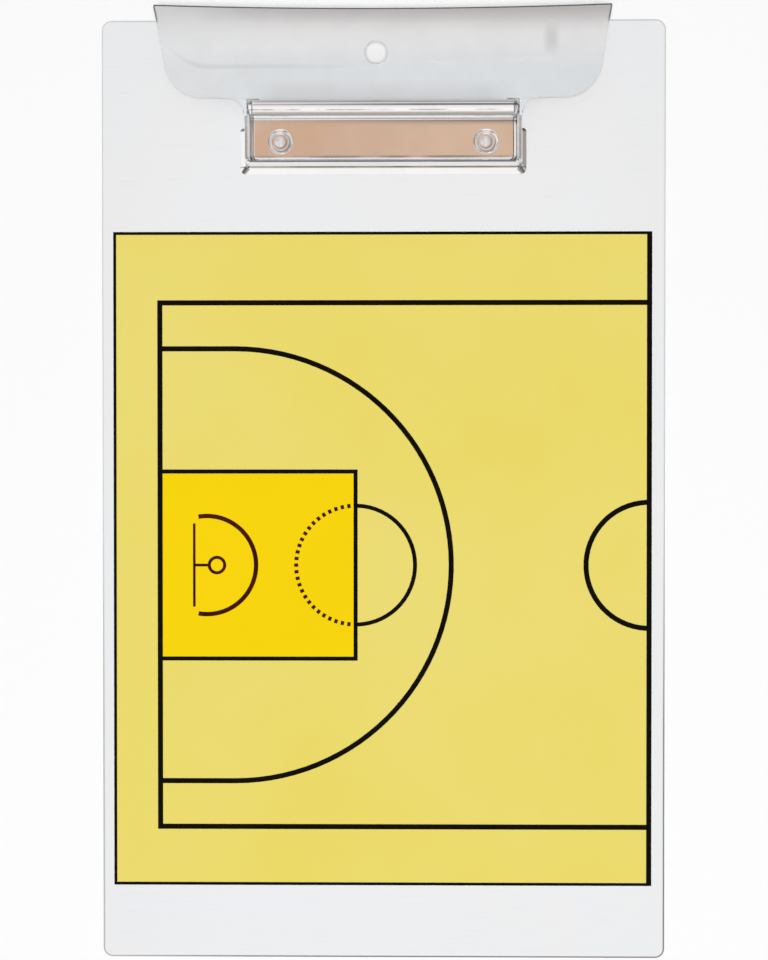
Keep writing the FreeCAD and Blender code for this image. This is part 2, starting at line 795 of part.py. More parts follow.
def least_self_gap(path, wire_diameter):
    """The least space between two stretches of the wire that are not neighbours along it"""
    step = wire_diameter / 2
    points = path.discretize(Distance=step)
    apart = math.ceil(math.pi * wire_diameter / step)
    near = min(
        points[one].distanceToPoint(points[other])
        for one in range(len(points))
        for other in range(one + apart, len(points))
    )
    return near - wire_diameter


def make_springs():
    path, foot, way = spring_path()
    wire_diameter = number("wire_diameter")
    section = Part.Wire(Part.Circle(foot, way, wire_diameter / 2).toShape())
    right = doc.addObject("Part::Feature", "right_spring")
    right.Shape = path.makePipeShell([section], True, False)
    right.Placement = FreeCAD.Placement()
    print("spring least gap to itself: %.2f mm" % least_self_gap(path, wire_diameter))
    return [right, mirrored("left_spring", right)]


# Clip lever

def make_wing():
    """The lever's sheet: flat from the hinge, then curled up to the top edge, trimmed to its plan outline"""
    band = new_body("wing_band")
    profile = new_sketch(band, "wing_profile", "YZ_Plane")

    def on_flat(y, offset):
        return "hinge_z + %s / cos(lever_slope) + (%s - hinge_y) * tan(lever_slope)" % (offset, y)

    def on_curl(radius, angle):
        return "curl_y + %s * sin(%s)" % (radius, angle), "curl_z - %s * cos(%s)" % (radius, angle)

    front = "hinge_y - neck_front_reach"
    draw_outline(profile, [
        (front, on_flat(front, "lever_under")),
        (*on_curl("curl_radius", "lever_slope"), "curl_radius", 1),
        on_curl("curl_radius", "curl_end"),
        (*on_curl("curl_inner_radius", "curl_end"), "curl_inner_radius", -1),
        on_curl("curl_inner_radius", "lever_slope"),
        (front, on_flat(front, "lever_over")),
    ])
    pad(band, profile, "lever_tip_width + 2 * overrun", midplane=True)

    plan = new_body("wing_plan")
    outline = new_sketch(plan, "wing_outline", "XY_Plane", "board_thickness")
    edge_y = "hinge_y + wing_edge_reach"
    right_half = [
        ("tongue_half_width", "hinge_y + tongue_reach"),
        ("tongue_half_width", "neck_clear_y"),
        ("arm_inner", "neck_clear_y"),
        ("arm_inner", front),
        ("arm_outer", front),
        ("arm_outer", "%s - neck_fillet_radius" % edge_y, "neck_fillet_radius", -1),
        ("arm_outer + neck_fillet_radius", edge_y),
        ("wing_corner_x", edge_y, "wing_corner_radius", 1),
        ("wing_corner_x + wing_corner_radius * cos(wing_lean)", "wing_corner_y - wing_corner_radius * sin(wing_lean)"),
        ("lever_tip_width / 2", "wing_tip_y"),
    ]
    left_half = []
    for index in reversed(range(len(right_half))):
        x, y = right_half[index][:2]
        arc = right_half[index - 1][2:] if index else ()
        left_half.append(("-(%s)" % x, y, *arc))
    draw_outline(outline, right_half + left_half)
    pad(plan, outline, "curl_z")
    wing = common("wing_trimmed", band, plan)

    bow = doc.addObject("Part::Cylinder", "top_edge_bow")
    bow.Placement.Rotation = FreeCAD.Rotation(FreeCAD.Vector(1, 0, 0), 1)
    sag_radius = "((lever_tip_width / 2) ^ 2 + lever_top_sag ^ 2) / (2 * lever_top_sag)"
    beyond = "(%s - lever_top_sag)" % sag_radius
    bind(
        bow,
        Radius=sag_radius,
        Height="2 * curl_radius",
        Placement__Base__x="0",
        Placement__Base__y="curl_y + 2 * curl_radius * sin(curl_end) + %s * cos(curl_end)" % beyond,
        Placement__Base__z="curl_z - 2 * curl_radius * cos(curl_end) + %s * sin(curl_end)" % beyond,
        Placement__Rotation__Angle="curl_end",
    )
    return cut("wing_bowed", wing, bow)


def make_arm():
    """The right side arm, from the neck round the hinge and forwards to the jaw"""
    body = new_body("right_arm")
    profile = new_sketch(body, "arm_profile", "YZ_Plane", "arm_inner")
    low = "hinge_z - arm_swing_radius"
    front = "hinge_y - jaw_front_reach + jaw_foot_width + jaw_wall_lean + jaw_corner_radius"
    crown = "board_thickness + arm_front_height"
    rear = "hinge_y + arm_swing_radius"
    neck = "hinge_y - neck_front_reach"
    middle = "hinge_z + lever_middle / cos(lever_slope) %s * tan(lever_slope)"
    draw_outline(profile, [
        (front, low),
        ("hinge_y", low, "arm_swing_radius", 1),
        (rear, "hinge_z"),
        (rear, middle % "+ arm_swing_radius"),
        (neck, middle % "- neck_front_reach"),
        ("hinge_y - arm_shoulder_reach", crown),
        (front, crown),
    ])
    pad(body, profile, "lever_sheet")
    return body


def jaw_section(body, name, height, side, front, rear, radius):
    """A level section of the jaw with rounded front corners"""
    sketch = new_sketch(body, name, "XY_Plane", height)
    draw_outline(sketch, [
        ("-(%s)" % side, "%s + %s" % (front, radius), radius, 1),
        ("-(%s) + %s" % (side, radius), front),
        ("%s - (%s)" % (side, radius), front, radius, 1),
        (side, "%s + %s" % (front, radius)),
        (side, rear),
        ("-(%s)" % side, rear),
    ])
    return sketch


def make_jaw():
    """The front of the lever: a wall round the base plate's front that flares out to a foot on the board"""
    body = new_body("jaw")
    floor = "board_thickness + rest_clearance"
    crease = "board_thickness + jaw_foot_height"
    crown = "board_thickness + arm_front_height"
    foot = "hinge_y - jaw_front_reach"
    levels = (
        (floor, "arm_outer + jaw_side_flare", foot),
        (crease, "arm_outer", "%s + jaw_foot_width" % foot),
        (crown, "arm_outer", "%s + jaw_foot_width + jaw_wall_lean" % foot),
    )
    rear = "hinge_y - jaw_flare_rear_reach"
    for kind, inset, end in (
        ("Additive", "0", rear),
        ("Subtractive", "lever_sheet", rear + " + overrun"),
    ):
        sections = [
            jaw_section(
                body, "jaw_%s_%d" % (kind.lower(), index), height,
                "%s - %s" % (side, inset), "%s + %s" % (front, inset), end, "(jaw_corner_radius - %s)" % inset,
            )
            for index, (height, side, front) in enumerate(levels)
        ]
        loft = body.newObject("PartDesign::%sLoft" % kind, "jaw_%s" % kind.lower())
        loft.Profile = sections[0]
        loft.Sections = sections[1:]
        loft.Ruled = True
        doc.recompute()
    return body


def make_lever():
    arm = make_arm()
    whole = fuse("lever_whole", make_wing(), arm, mirrored("left_arm", arm), make_jaw())
    pin_hole = cross_cylinder(
        "lever_pin_hole", "hinge_y", "hinge_z", "pin_diameter / 2 + running_clearance", "arm_outer + overrun",
    )
    hang_hole = doc.addObject("Part::Cylinder", "hang_hole")
    hang_hole.Placement.Rotation = FreeCAD.Rotation(FreeCAD.Vector(1, 0, 0), 1)
    turn = "lever_slope + hang_hole_arc / curl_radius * 180 / pi"
    bind(
        hang_hole,
        Radius="hang_hole_diameter / 2",
        Height="lever_sheet + 4 * overrun",
        Placement__Base__x="hang_hole_offset",
        Placement__Base__y="curl_y + (curl_radius + 2 * overrun) * sin(%s)" % turn,
        Placement__Base__z="curl_z - (curl_radius + 2 * overrun) * cos(%s)" % turn,
        Placement__Rotation__Angle=turn,
    )
    return cut("clip_lever", whole, fuse("lever_holes", pin_hole, hang_hole))


def write_parts(pieces):
    """Checks every object and every piece, then writes one file for each piece"""
    doc.recompute()
    failed = [thing.Name for thing in doc.Objects if {"Invalid", "Error"} & set(thing.State)]
    if failed:
        raise RuntimeError("failed: " + ", ".join(failed))
    for piece in pieces:
        if piece.Shape.isNull() or not piece.Shape.isValid():
            raise RuntimeError("%s has no valid shape" % piece.Label)
    os.makedirs("parts", exist_ok=True)
    for piece in pieces:
        piece.Shape.exportStep("parts/%s.step" % piece.Label)
        print("%-20s solids %2d  volume %10.2f mm3" % (piece.Label, len(piece.Shape.Solids), piece.Shape.Volume))


pieces = make_board()
pieces += make_court()
pieces.append(make_base_plate())
pieces.append(make_rivets())
pieces.append(make_pin())
pieces += make_springs()
pieces.append(make_lever())
write_parts(pieces)
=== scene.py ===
"""Looks of the tactics board: a wipe-clean board printed with a half court, and its sprung chrome clip."""
import json
import math

import bmesh
import bpy
from mathutils import Euler, Matrix, Vector


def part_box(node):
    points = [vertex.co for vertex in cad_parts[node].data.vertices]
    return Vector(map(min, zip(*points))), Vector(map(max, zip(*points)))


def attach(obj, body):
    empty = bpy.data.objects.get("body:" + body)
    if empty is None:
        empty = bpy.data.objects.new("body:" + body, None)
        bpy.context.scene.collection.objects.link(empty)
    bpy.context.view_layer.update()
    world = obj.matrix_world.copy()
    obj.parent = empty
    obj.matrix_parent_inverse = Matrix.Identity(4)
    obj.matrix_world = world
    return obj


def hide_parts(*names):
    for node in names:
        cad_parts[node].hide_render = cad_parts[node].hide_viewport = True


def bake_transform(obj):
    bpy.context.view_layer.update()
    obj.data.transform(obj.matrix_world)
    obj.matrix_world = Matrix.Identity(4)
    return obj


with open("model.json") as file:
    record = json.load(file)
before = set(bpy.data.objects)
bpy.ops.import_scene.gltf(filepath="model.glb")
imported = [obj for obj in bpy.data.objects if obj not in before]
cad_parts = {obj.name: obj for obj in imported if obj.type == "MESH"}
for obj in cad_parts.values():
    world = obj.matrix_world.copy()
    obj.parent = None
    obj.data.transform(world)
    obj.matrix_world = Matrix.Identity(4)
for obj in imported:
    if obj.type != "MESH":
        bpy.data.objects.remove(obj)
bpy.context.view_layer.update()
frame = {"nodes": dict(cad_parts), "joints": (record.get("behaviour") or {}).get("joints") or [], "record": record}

bl_info = {
    "name": "Tactics Board",
    "version": (1, 0, 0),
    "blender": (4, 5, 0),
    "location": "3D View > Sidebar > Tactics Board",
    "description": "Builds the looks of a coach's tactics board around its solids",
    "category": "Object",
}

MM = 0.001
PHOTO_HEIGHT = 960
SENSOR_HEIGHT = 24.0
WHITE = (1.0, 1.0, 1.0)

# The mix node's colour sockets
FIRST_COLOUR = 6
SECOND_COLOUR = 7

# Small lengths of the meshes, in millimetres
SAME_SPOT = 1e-4
SINK = 0.02
BEND_STEP = 0.6
COLUMN_STEP = 7.0
SLOPE_STEP = 0.01
HOLE_MARGIN = 1.2
TIP_CORNER = 0.5
SHOULDER_RADIUS = 2.0

# Steps of the round forms, and a bevel's round profile
ROUND = 0.5
EDGE_STEPS = 2
RIM_STEPS = 3
TIP_CORNER_STEPS = 4
JAW_BEND_STEPS = 5
JAW_TIP_STEPS = 8
SHOULDER_STEPS = 8
JAW_CORNER_STEPS = 10
NECK_STEPS = 12
BOARD_CORNER_STEPS = 14
WIRE_STEPS = 14
ARM_STEPS = 16
RIVET_HOLE_STEPS = 24
WING_CORNER_STEPS = 24
PIN_HOLE_STEPS = 32
HANG_HOLE_STEPS = 64

# Angles, and the shares by which a face or an edge is told apart
COIL_STEP = math.radians(12)
CUT_ANGLE = math.radians(40)
SHADE_ANGLE = math.radians(50)
CORNER_ANGLE = math.radians(60)
STEEP = 0.5
NEARLY_FLAT = 0.97
NEAR_OUTLINE = 0.98
WIRE_END_SHARE = 0.125

# Films and inks: scale of their clouds, gloss, and changes of tone
FACE_CLOUDS = 7.0
FIELD_CLOUDS = 9.0
KEY_CLOUDS = 11.0
INK_CLOUDS = 60.0
FACE_GLOSS = 0.3
FIELD_GLOSS = 0.12
INK_GLOSS = 0.05
FIELD_FADING = 0.05
KEY_DEEPENING = 0.96
INK_THINNING = 2.2
WIPED_COLOR = (0.72, 0.73, 0.75)
WIPED_STRENGTH = 0.25

# Platings: least and most roughness, strength of the pressing's waves, colours of smudges, painted shade and the
# painted reflection band, and how dull the marks are
BRIGHT_POLISH = (0.07, 0.12)
RIVET_POLISH = (0.34, 0.44)
BASE_WAVES = 0.25
RIVET_WAVES = 0.2
LEVER_WAVES = 0.15
WAVE_DEPTH = 0.0006
RIVET_METAL = 0.5
SATIN_METAL = 0.65
SATIN_HAZE = 0.06
SMUDGE_STRENGTH = 0.05
# Colour of handling smudges and of the painted shade marks
SMUDGE_AND_SHADE_COLOR = (0.16, 0.145, 0.135)
MARK_HAZE = 0.25
# Colour and haze of the painted reflection band on the hood's front
REFLECTION_BAND_COLOR = (0.64, 0.66, 0.74)
REFLECTION_BAND_HAZE = 0.45

# Patterns: how each is stretched, the span of it that counts, and its bump's strength and depth
CLOUD_SPAN = (0.32, 0.68)
WIPE_STRETCH = (60.0, 900.0, 60.0)
WIPE_SPAN = (0.55, 0.8)
FILM_ROUGHNESS = (0.0, 1.0, 0.30, 0.42)
PEEL_BUMP = (0.06, 0.00003)
SMUDGE_SPAN = (0.42, 0.72)
HAIRLINE_STRETCH = (2600.0, 90.0, 400.0)
HAIRLINE_HEIGHT = 0.012
SAW_STRETCH = (500.0, 500.0, 90.0)
LAYER_STRETCH = (8.0, 8.0, 2400.0)
SAW_SPAN = (0.35, 0.65)
SAW_SHADE = 0.78
SAW_ROUGHNESS = (0.3, 0.7, 0.5, 0.7)
SAW_BUMP = (0.3, 0.00006)
DRAWN_STRETCH = (120.0, 2500.0, 2500.0)
DRAWN_SPAN = (0.35, 0.7)
DRAWN_SHADE = 0.7
DRAWN_ROUGHNESS = (0.3, 0.7, 0.24, 0.42)
DRAWN_BUMP = (0.25, 0.00003)

# Painted shade and painted light on the board, in millimetres from its middle. Here and below, a strip is its
# middle, half its width and its soft edge. Other rows are where a mask starts and ends, and its strengths there if
# not 0 and 1.
# Painted shade along the face's outline, stronger towards the board's foot and right side
EDGE_LINE = 0.8
EDGE_LINE_DOWN = (-10.0, -100.0, 0.15, 0.9)
EDGE_LINE_ACROSS = (-118.0, -60.0, 0.5, 1.0)
EDGE_SHADE_COLOR = (0.10, 0.10, 0.105)
# Painted light: a brighter face under the lever's wing, where the wing casts its shade
PAINTED_LIGHT_STRIP = (0.0, 60.0, 8.0)
PAINTED_LIGHT_ALONG = (170.0, 178.0)

# Marks, painted shade and painted reflection on the clip, in millimetres across from its middle and along from the
# hinge
SATIN_ALONG = (-2.0, 5.0)
# Painted shade on the plateau along the hood's foot
HOOD_FOOT_SHADE = (-7.0, -4.2)
HOOD_FOOT_END = (-4.2, -4.1, 1.0, 0.0)
HOOD_FOOT_ACROSS = (-50.0, 50.0, 0.3, 0.9)
# Painted shade: a dark line over the hood's crest, darker towards the right
HOOD_CREST_SHADE_STRIP = (1.2, 0.25, 0.3)
HOOD_CREST_SHADE_ACROSS = (-45.0, 15.0, 0.35, 0.9)
# Painted reflection: a broken dark line on the hood's front
HOOD_REFLECTION_LINE_STRIP = (-0.95, 0.1, 0.22)
# Painted reflection band along the hood's steep front
HOOD_REFLECTION_BAND_STRIP = (-2.8, 0.2, 0.35)
HOOD_REFLECTION_BAND_STRENGTH = 0.8
# Painted shade: a broken dark line near the plateau's front edge
PLATEAU_EDGE_SHADE_STRIP = (-19.8, 0.25, 0.5)
# Painted shade round each rivet's head, heavier on one side
RIVET_SHADE_OFFSET = (-0.3, 0.2)
RIVET_SHADE_START = 0.8
RIVET_SHADE_STRENGTH = 0.7
# Painted reflection: a faint dark line on the wing's left side where the flat part turns into the curl
BEND_REFLECTION_STRIP = (17.2, 0.3, 1.1)
BEND_REFLECTION_RIGHT = (-10.0, -40.0, 0.0, 0.13)
BEND_REFLECTION_LEFT = (-92.0, -80.0)
BEND_REFLECTION_BOW_START = -74.0
BEND_REFLECTION_BOW = 0.03
DULL_SPOT_ACROSS = (70.7, 1.2, 2.6)
DULL_SPOT_ALONG = (27.9, 2.0, 5.0)
DULL_SPOT_STRENGTH = 0.2
# Painted shade on the wing next to the hood
WING_FOOT_SHADE = (12.0, 5.0, 0.0, 0.2)
WING_FOOT_START = (2.0, 3.0)
WING_FOOT_STRIP = (0.0, 44.0, 14.0)
# Painted shade: a broken dark line in the jaw's crease
JAW_CREASE_SHADE_STRIP = (-24.0, 0.12, 0.3)
# Painted reflection: dark marks at the rear tips of the jaw's flared sides
FLARE_TIP_REFLECTION_STRIP = (-8.1, 0.3, 0.6)
FLARE_TIP_REFLECTION_ASIDE = (58.9, 59.2, 0.0, 0.95)
DARK_EDGE = 35.5
# Painted shade along the wing's leaning sides near its top edge
SIDE_SHADE_WIDTH = 0.9
SIDE_SHADE_STRENGTH = 0.85
SIDE_SHADE_ALONG = (33.8, DARK_EDGE)

# Breaks in the clip's thin painted lines of shade and reflection: the stretch of their pattern, and its span with
# the line's strengths there
REFLECTION_LINE_BREAKS = ((75.0, 20.0, 20.0), (0.45, 0.6, 0.0, 0.6))
PLATEAU_BREAKS = ((55.0, 20.0, 20.0), (0.4, 0.6, 0.15, 0.65))
CREASE_SHADE_BREAKS = ((45.0, 20.0, 20.0), (0.35, 0.65, 0.2, 0.9))

# Bands of the room that the plating mirrors, by how far they lie towards the clip's end
STUDIO_BANDS = (
    (-1.00, (0.36, 0.325, 0.31)),
    (-0.95, (0.61, 0.56, 0.54)),
    (-0.87, (0.90, 0.865, 0.84)),
    (-0.75, (1.00, 0.975, 0.965)),
    (-0.54, (1.00, 0.985, 0.99)),
    (-0.30, (0.95, 0.97, 0.99)),
    (-0.18, (0.82, 0.86, 0.885)),
    (-0.13, (0.79, 0.83, 0.86)),
    (-0.05, (0.86, 0.88, 0.895)),
    (0.03, (0.93, 0.90, 0.88)),
    (0.07, (0.30, 0.21, 0.16)),
    (0.11, (0.74, 0.51, 0.365)),
    (0.17, (0.74, 0.495, 0.34)),
    (0.22, (0.42, 0.30, 0.24)),
    (0.28, (0.93, 0.91, 0.90)),
    (0.52, (0.92, 0.89, 0.90)),
    (0.74, (0.55, 0.52, 0.52)),
    (0.88, (0.20, 0.185, 0.185)),
    (1.00, (0.12, 0.12, 0.12)),
)

# Other forms in the room, as masks over the ways to it
TAN_LEFT = (-0.010, -0.060, 0.0, 0.9)
TAN_STRIP = (0.145, 0.045, 0.02)
TAN_COLOR = (0.655, 0.405, 0.255)
GLOW_LEFT = (-0.088, -0.100, 0.0, 0.8)
POST_INNER_SIDE = (0.28, 0.36, 0.0, 0.92)
POST_OUTER_SIDE = (0.66, 0.58)
POST_COLOR = (0.06, 0.045, 0.04)
WINDOW_LEFT = (-0.60, -0.70)
DIM_RIGHT = (0.58, 0.80, 0.0, 0.85)
DIM_COLOR = (0.30, 0.30, 0.31)
CORNER_SIDE = (0.28, 0.36, 0.0, 0.95)
CORNER_REAR = (0.22, 0.36)
CORNER_COLOR = (0.10, 0.095, 0.095)
CEILING_SIDE = (0.14, 0.26)
CEILING_REAR = (0.20, 0.32)
CEILING_HEIGHT = (0.66, 0.76)
CEILING_COLOR = (0.90, 0.91, 0.92)
PATCH_SCALE = 2.3
PATCH_SPAN = (0.35, 0.65, 0.16, 0.0)
PATCH_COLOR = (0.30, 0.29, 0.30)

# Floor and lamp, in metres
FLOOR_SIZE = 3.0
FLOOR_DROP = 0.0004
FLOOR_FADE = (0.32, 0.75)
FLOOR_ROUGHNESS = 0.8
LAMP_SIZE = 0.5

# Places taken from the frame, in millimetres
HINGE = Vector(frame["joints"][0]["pos_m"]) / MM
HANG_HOLE = next(mount for mount in frame["record"]["mounts"] if mount["name"] == "hang_hole")
HOLE_MIDDLE = Vector(HANG_HOLE["pos_m"]) / MM
HOLE_RADIUS = HANG_HOLE["dims"]["r_mm"]
FACE_LOW, FACE_HIGH = (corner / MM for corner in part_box("front_face_sheet"))
RIVETS_LOW, RIVETS_HIGH = (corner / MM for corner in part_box("rivets"))
RIVET_RADIUS = (RIVETS_HIGH.y - RIVETS_LOW.y) / 2
RIVET_X = RIVETS_HIGH.x - RIVET_RADIUS
RIVET_Y = RIVETS_HIGH.y - RIVET_RADIUS


def length(name, millimetres, description):
    return bpy.props.FloatProperty(
        name=name, description=description, default=millimetres * MM, unit="LENGTH", precision=5)


def angle(name, degrees, description):
    return bpy.props.FloatProperty(
        name=name, description=description, default=math.radians(degrees), subtype="ANGLE")


def colour(name, value, description):
    return bpy.props.FloatVectorProperty(
        name=name, description=description, default=value, subtype="COLOR", min=0, max=1)


class BoardLook(bpy.types.PropertyGroup):
    """Sizes and colours of the board and its print"""
    corner_radius: length("Corner", 4.0, "Radius of the board's corners")
    rim_width: length("Rim", 0.45, "Width of the trimmed edge round the front face")
    rivet_hole: length("Rivet Hole", 3.1, "Diameter of the holes for the rivets")
    face_color: colour("Face", (0.83, 0.85, 0.862), "Colour of the wipe-clean face")
    face_tint: colour("Face Tint", (0.855, 0.845, 0.85), "Warmer tone that drifts over the face")
    # Painted light: the face's colour under the lever's wing
    painted_light_color: colour("Painted Light Face", (0.97, 0.97, 0.975), "Face colour painted lighter under the lever's wing")
    rim_color: colour("Rim", (0.50, 0.50, 0.51), "Colour of the trimmed edge")
    core_color: colour("Core", (0.66, 0.66, 0.65), "Colour of the sawn core")
    field_color: colour("Field", (0.815, 0.685, 0.132), "Pale yellow of the court")
    key_color: colour("Key", (0.935, 0.66, 0.001), "Deep yellow of the key")
    line_color: colour("Lines", (0.0022, 0.0016, 0.0006), "Near-black of the lines")
    mark_color: colour("Marks", (0.032, 0.004, 0.0002), "Brown-black of the thin marks on the key")


class ClipLook(bpy.types.PropertyGroup):
    """Sizes and colours of the clip"""
    sheet: length("Lever Sheet", 0.9, "Thickness of the lever's sheet")
    slope: angle("Slope", 8.0, "Slope of the flat part of the wing")
    over: length("Rise", 3.25, "Top of the lever's flat part over the hinge axis")
    flat_length: length("Flat", 16.6, "Length of the flat part from the hinge")
    curl_radius: length("Curl", 39.1, "Radius of the wing's upper side")
    curl_end: angle("Curl End", 49.0, "Slope of the wing at its top edge")
    tip_width: length("Wing Width", 190.7, "Width of the wing at its top edge")
    wing_lean: angle("Side Lean", 7.7, "Lean of the wing's sides")
    top_sag: length("Top Sag", 1.32, "Dip of the top edge's middle, seen from above")
    wing_reach: length("Wing Reach", 4.3, "Wing's lower edge behind the hinge axis")
    wing_corner: length("Wing Corner", 15.5, "Radius of the wing's lower corners")
    neck_fillet: length("Neck Fillet", 7.0, "Radius between the neck and the wing")
    neck_reach: length("Neck Reach", 3.0, "Neck's front end before the hinge axis")
    neck_clear: length("Neck Gap", 4.0, "Start of the sheet behind the base plate")
    tongue_half: length("Tongue", 52.3, "Half the width of the tongue under the hood")
    tongue_reach: length("Tongue Reach", 2.7, "Tongue's front end behind the hinge axis")
    arm_inner: length("Arm", 57.7, "Inner side of the arms from the middle")
    arm_low: length("Arm Swing", 3.9, "Radius of the arm's end round the hinge")
    arm_front: length("Arm Front", 19.5, "Front end of the arms before the hinge axis")
    arm_shoulder: length("Arm Shoulder", 9.0, "Start of the arm's low part before the hinge axis")
    arm_crown: length("Arm Height", 0.2, "Top of the arm's low part over the hinge axis")
    jaw_front: length("Jaw Front", 27.0, "Front of the jaw's foot before the hinge axis")
    jaw_rear: length("Jaw Rear", 7.6, "Rear end of the jaw's sides before the hinge axis")
    jaw_foot: length("Jaw Foot", 3.0, "Width of the jaw's foot")
    jaw_floor: length("Jaw Floor", 4.1, "Underside of the foot below the hinge axis")
    jaw_crease: length("Jaw Crease", 2.8, "Bend between the foot and the wall, below the hinge axis")
    jaw_flare: length("Jaw Flare", 2.3, "Flare of the jaw's sides")
    jaw_lean: length("Jaw Lean", 1.7, "Lean of the jaw's front wall")
    jaw_corner: length("Jaw Corner", 2.5, "Radius of the jaw's front corners")
    jaw_tip: length("Jaw Tip", 1.4, "Radius of the rear ends of the jaw's flared sides")
    jaw_bend: length("Jaw Bend", 1.0, "Softness of the bend between the jaw's foot and wall")
    edge_round: length("Edge Round", 0.16, "Rounding of the sheet's cut edges")
    pin_hole: length("Pin Hole", 2.3, "Diameter of the hinge holes")
    lever_color: colour("Wing", (0.765, 0.775, 0.785), "Satin plating of the lever's wing")
    base_color: colour("Plating", (0.97, 0.967, 0.965), "Bright plating of the base plate and the jaw")
    rivet_color: colour("Rivets", (0.90, 0.865, 0.86), "Pale satin plating of the rivets")
    edge_color: colour("Sheared Edge", (0.16, 0.155, 0.155), "Darker sheared edge of the lever's wing")
    arm_edge_color: colour("Arm Edge", (0.62, 0.58, 0.56), "Duller sheared edge of the lever's arms")
    steel_color: colour("Steel", (0.62, 0.62, 0.63), "Steel of the pin and springs")


class SpringLook(bpy.types.PropertyGroup):
    """Sizes of the torsion springs"""
    wire: length("Wire", 0.9, "Diameter of the wire")
    coil_radius: length("Coil", 1.8, "Radius of the coil's centre line")
    pitch: length("Pitch", 1.6, "Advance of the coil in one turn")
    spacing: length("Spacing", 28.0, "Middle of each coil from the clip's middle")
    lower_leg: length("Lower Leg", 7.0, "Length of the leg on the board")
    upper_leg: length("Upper Leg", 8.0, "Length of the leg under the wing")
    lower_angle: angle("Lower Leg Angle", 254.1, "Place round the coil where the lower leg joins it")
    upper_angle: angle("Upper Leg Angle", 98.0, "Place round the coil where the upper leg joins it")
    whole_turns: bpy.props.IntProperty(name="Turns", description="Whole turns of the coil", default=4, min=1)


class StageLook(bpy.types.PropertyGroup):
    """Camera, lamp and floor"""
    camera_place: bpy.props.FloatVectorProperty(
        name="Camera Place", description="Where the camera stands over the board",
        default=(0.01344, 0.01753, 0.903), subtype="TRANSLATION", unit="LENGTH")
    camera_tilt: bpy.props.FloatVectorProperty(
        name="Camera Tilt", description="Turn of the camera from straight down",
        default=(math.radians(-0.837), math.radians(0.837), math.radians(-0.007)), subtype="EULER")
    focal_pixels: bpy.props.FloatProperty(
        name="Focal Length", description="Focal length in pixels of the picture", default=2108.7)
    floor_color: colour("Floor", (0.98, 0.98, 0.98), "Colour of the floor")
    room_light: bpy.props.FloatProperty(
        name="Room Light", description="Brightness of the room all round", default=0.38)
    lamp_place: bpy.props.FloatVectorProperty(
        name="Lamp Place", description="Where the soft lamp hangs", default=(0.035, -0.25, 2.4),
        subtype="TRANSLATION", unit="LENGTH")
    lamp_power: bpy.props.FloatProperty(
        name="Lamp", description="Power of the soft lamp", default=37.2, unit="POWER")


def mm(size):
    return size / MM


# Shader nodes

def connect(tree, node, inputs):
    """Fills a node's inputs; each is a value or another node's output socket"""
    for key, value in inputs.items():
        if isinstance(value, bpy.types.NodeSocket):
            tree.links.new(value, node.inputs[key])
        else:
            node.inputs[key].default_value = value


def add_node(tree, kind, inputs=None, **settings):
    made = tree.nodes.new(kind)
    for name, value in settings.items():
        setattr(made, name, value)
    connect(tree, made, inputs or {})
    return made


def noise(tree, place, scale, detail=2.0, roughness=0.5):
    made = add_node(tree, "ShaderNodeTexNoise", {
        "Vector": place, "Scale": scale, "Detail": detail, "Roughness": roughness,
    })
    return made.outputs["Fac"]


def map_range(tree, value, low, high, to_low=0.0, to_high=1.0):
    made = add_node(tree, "ShaderNodeMapRange", {
        "Value": value, "From Min": low, "From Max": high, "To Min": to_low, "To Max": to_high,
    })
    return made.outputs["Result"]


def math_node(tree, operation, first, second=0.0):
    return add_node(tree, "ShaderNodeMath", {0: first, 1: second}, operation=operation).outputs[0]


def product(tree, first, *others):
    for other in others:
        first = math_node(tree, "MULTIPLY", first, other)
    return first


def strongest(tree, first, *others):
    for other in others:
        first = math_node(tree, "MAXIMUM", first, other)
    return first


def distance(tree, across, along):
    square = math_node(tree, "ADD", product(tree, across, across), product(tree, along, along))
    return math_node(tree, "SQRT", square)


def strip_mask(tree, value, middle, half, soft):
    """One within half a strip's width of its middle, fading out over a soft edge"""
    away = math_node(tree, "ABSOLUTE", math_node(tree, "SUBTRACT", value, middle))
    return map_range(tree, away, half, half + soft, 1.0, 0.0)


def mix_colour(tree, factor, first, second):
    inputs = {"Factor": factor}
    for key, value in ((FIRST_COLOUR, first), (SECOND_COLOUR, second)):
        inputs[key] = value if isinstance(value, bpy.types.NodeSocket) else (*value, 1)
    return add_node(tree, "ShaderNodeMix", inputs, data_type="RGBA").outputs[2]


def scaled(color, share):
    return [part * share for part in color]


def object_place(tree):
    return add_node(tree, "ShaderNodeTexCoord").outputs["Object"]


def stretched_place(tree, stretch):
    """Object coordinates, squeezed so that a pattern runs long along one way"""
    place = object_place(tree)
    return add_node(tree, "ShaderNodeMapping", {"Vector": place, "Scale": stretch}).outputs["Vector"]


def stretched_noise(tree, stretch, detail=2.0, roughness=0.5):
    return noise(tree, stretched_place(tree, stretch), 1.0, detail, roughness)


def board_place(tree):
    """Place across and along the board from its middle, in millimetres"""
    place = stretched_place(tree, (1 / MM, 1 / MM, 1 / MM))
    parts = add_node(tree, "ShaderNodeSeparateXYZ", {0: place}).outputs
    return parts["X"], parts["Y"]


def clip_place(tree):
    """Place across the clip from its middle and along it from the hinge, in millimetres"""
    across, along = board_place(tree)
    return across, math_node(tree, "SUBTRACT", along, HINGE.y)


def new_group(name, inputs, outputs):
    tree = bpy.data.node_groups.new(name, "ShaderNodeTree")
    for socket, value in inputs.items():
        made = tree.interface.new_socket(socket, in_out="INPUT", socket_type="NodeSocketFloat")
        made.default_value = value
    for socket in outputs:
        tree.interface.new_socket(socket, in_out="OUTPUT", socket_type="NodeSocketFloat")
    return tree, add_node(tree, "NodeGroupInput").outputs, add_node(tree, "NodeGroupOutput")


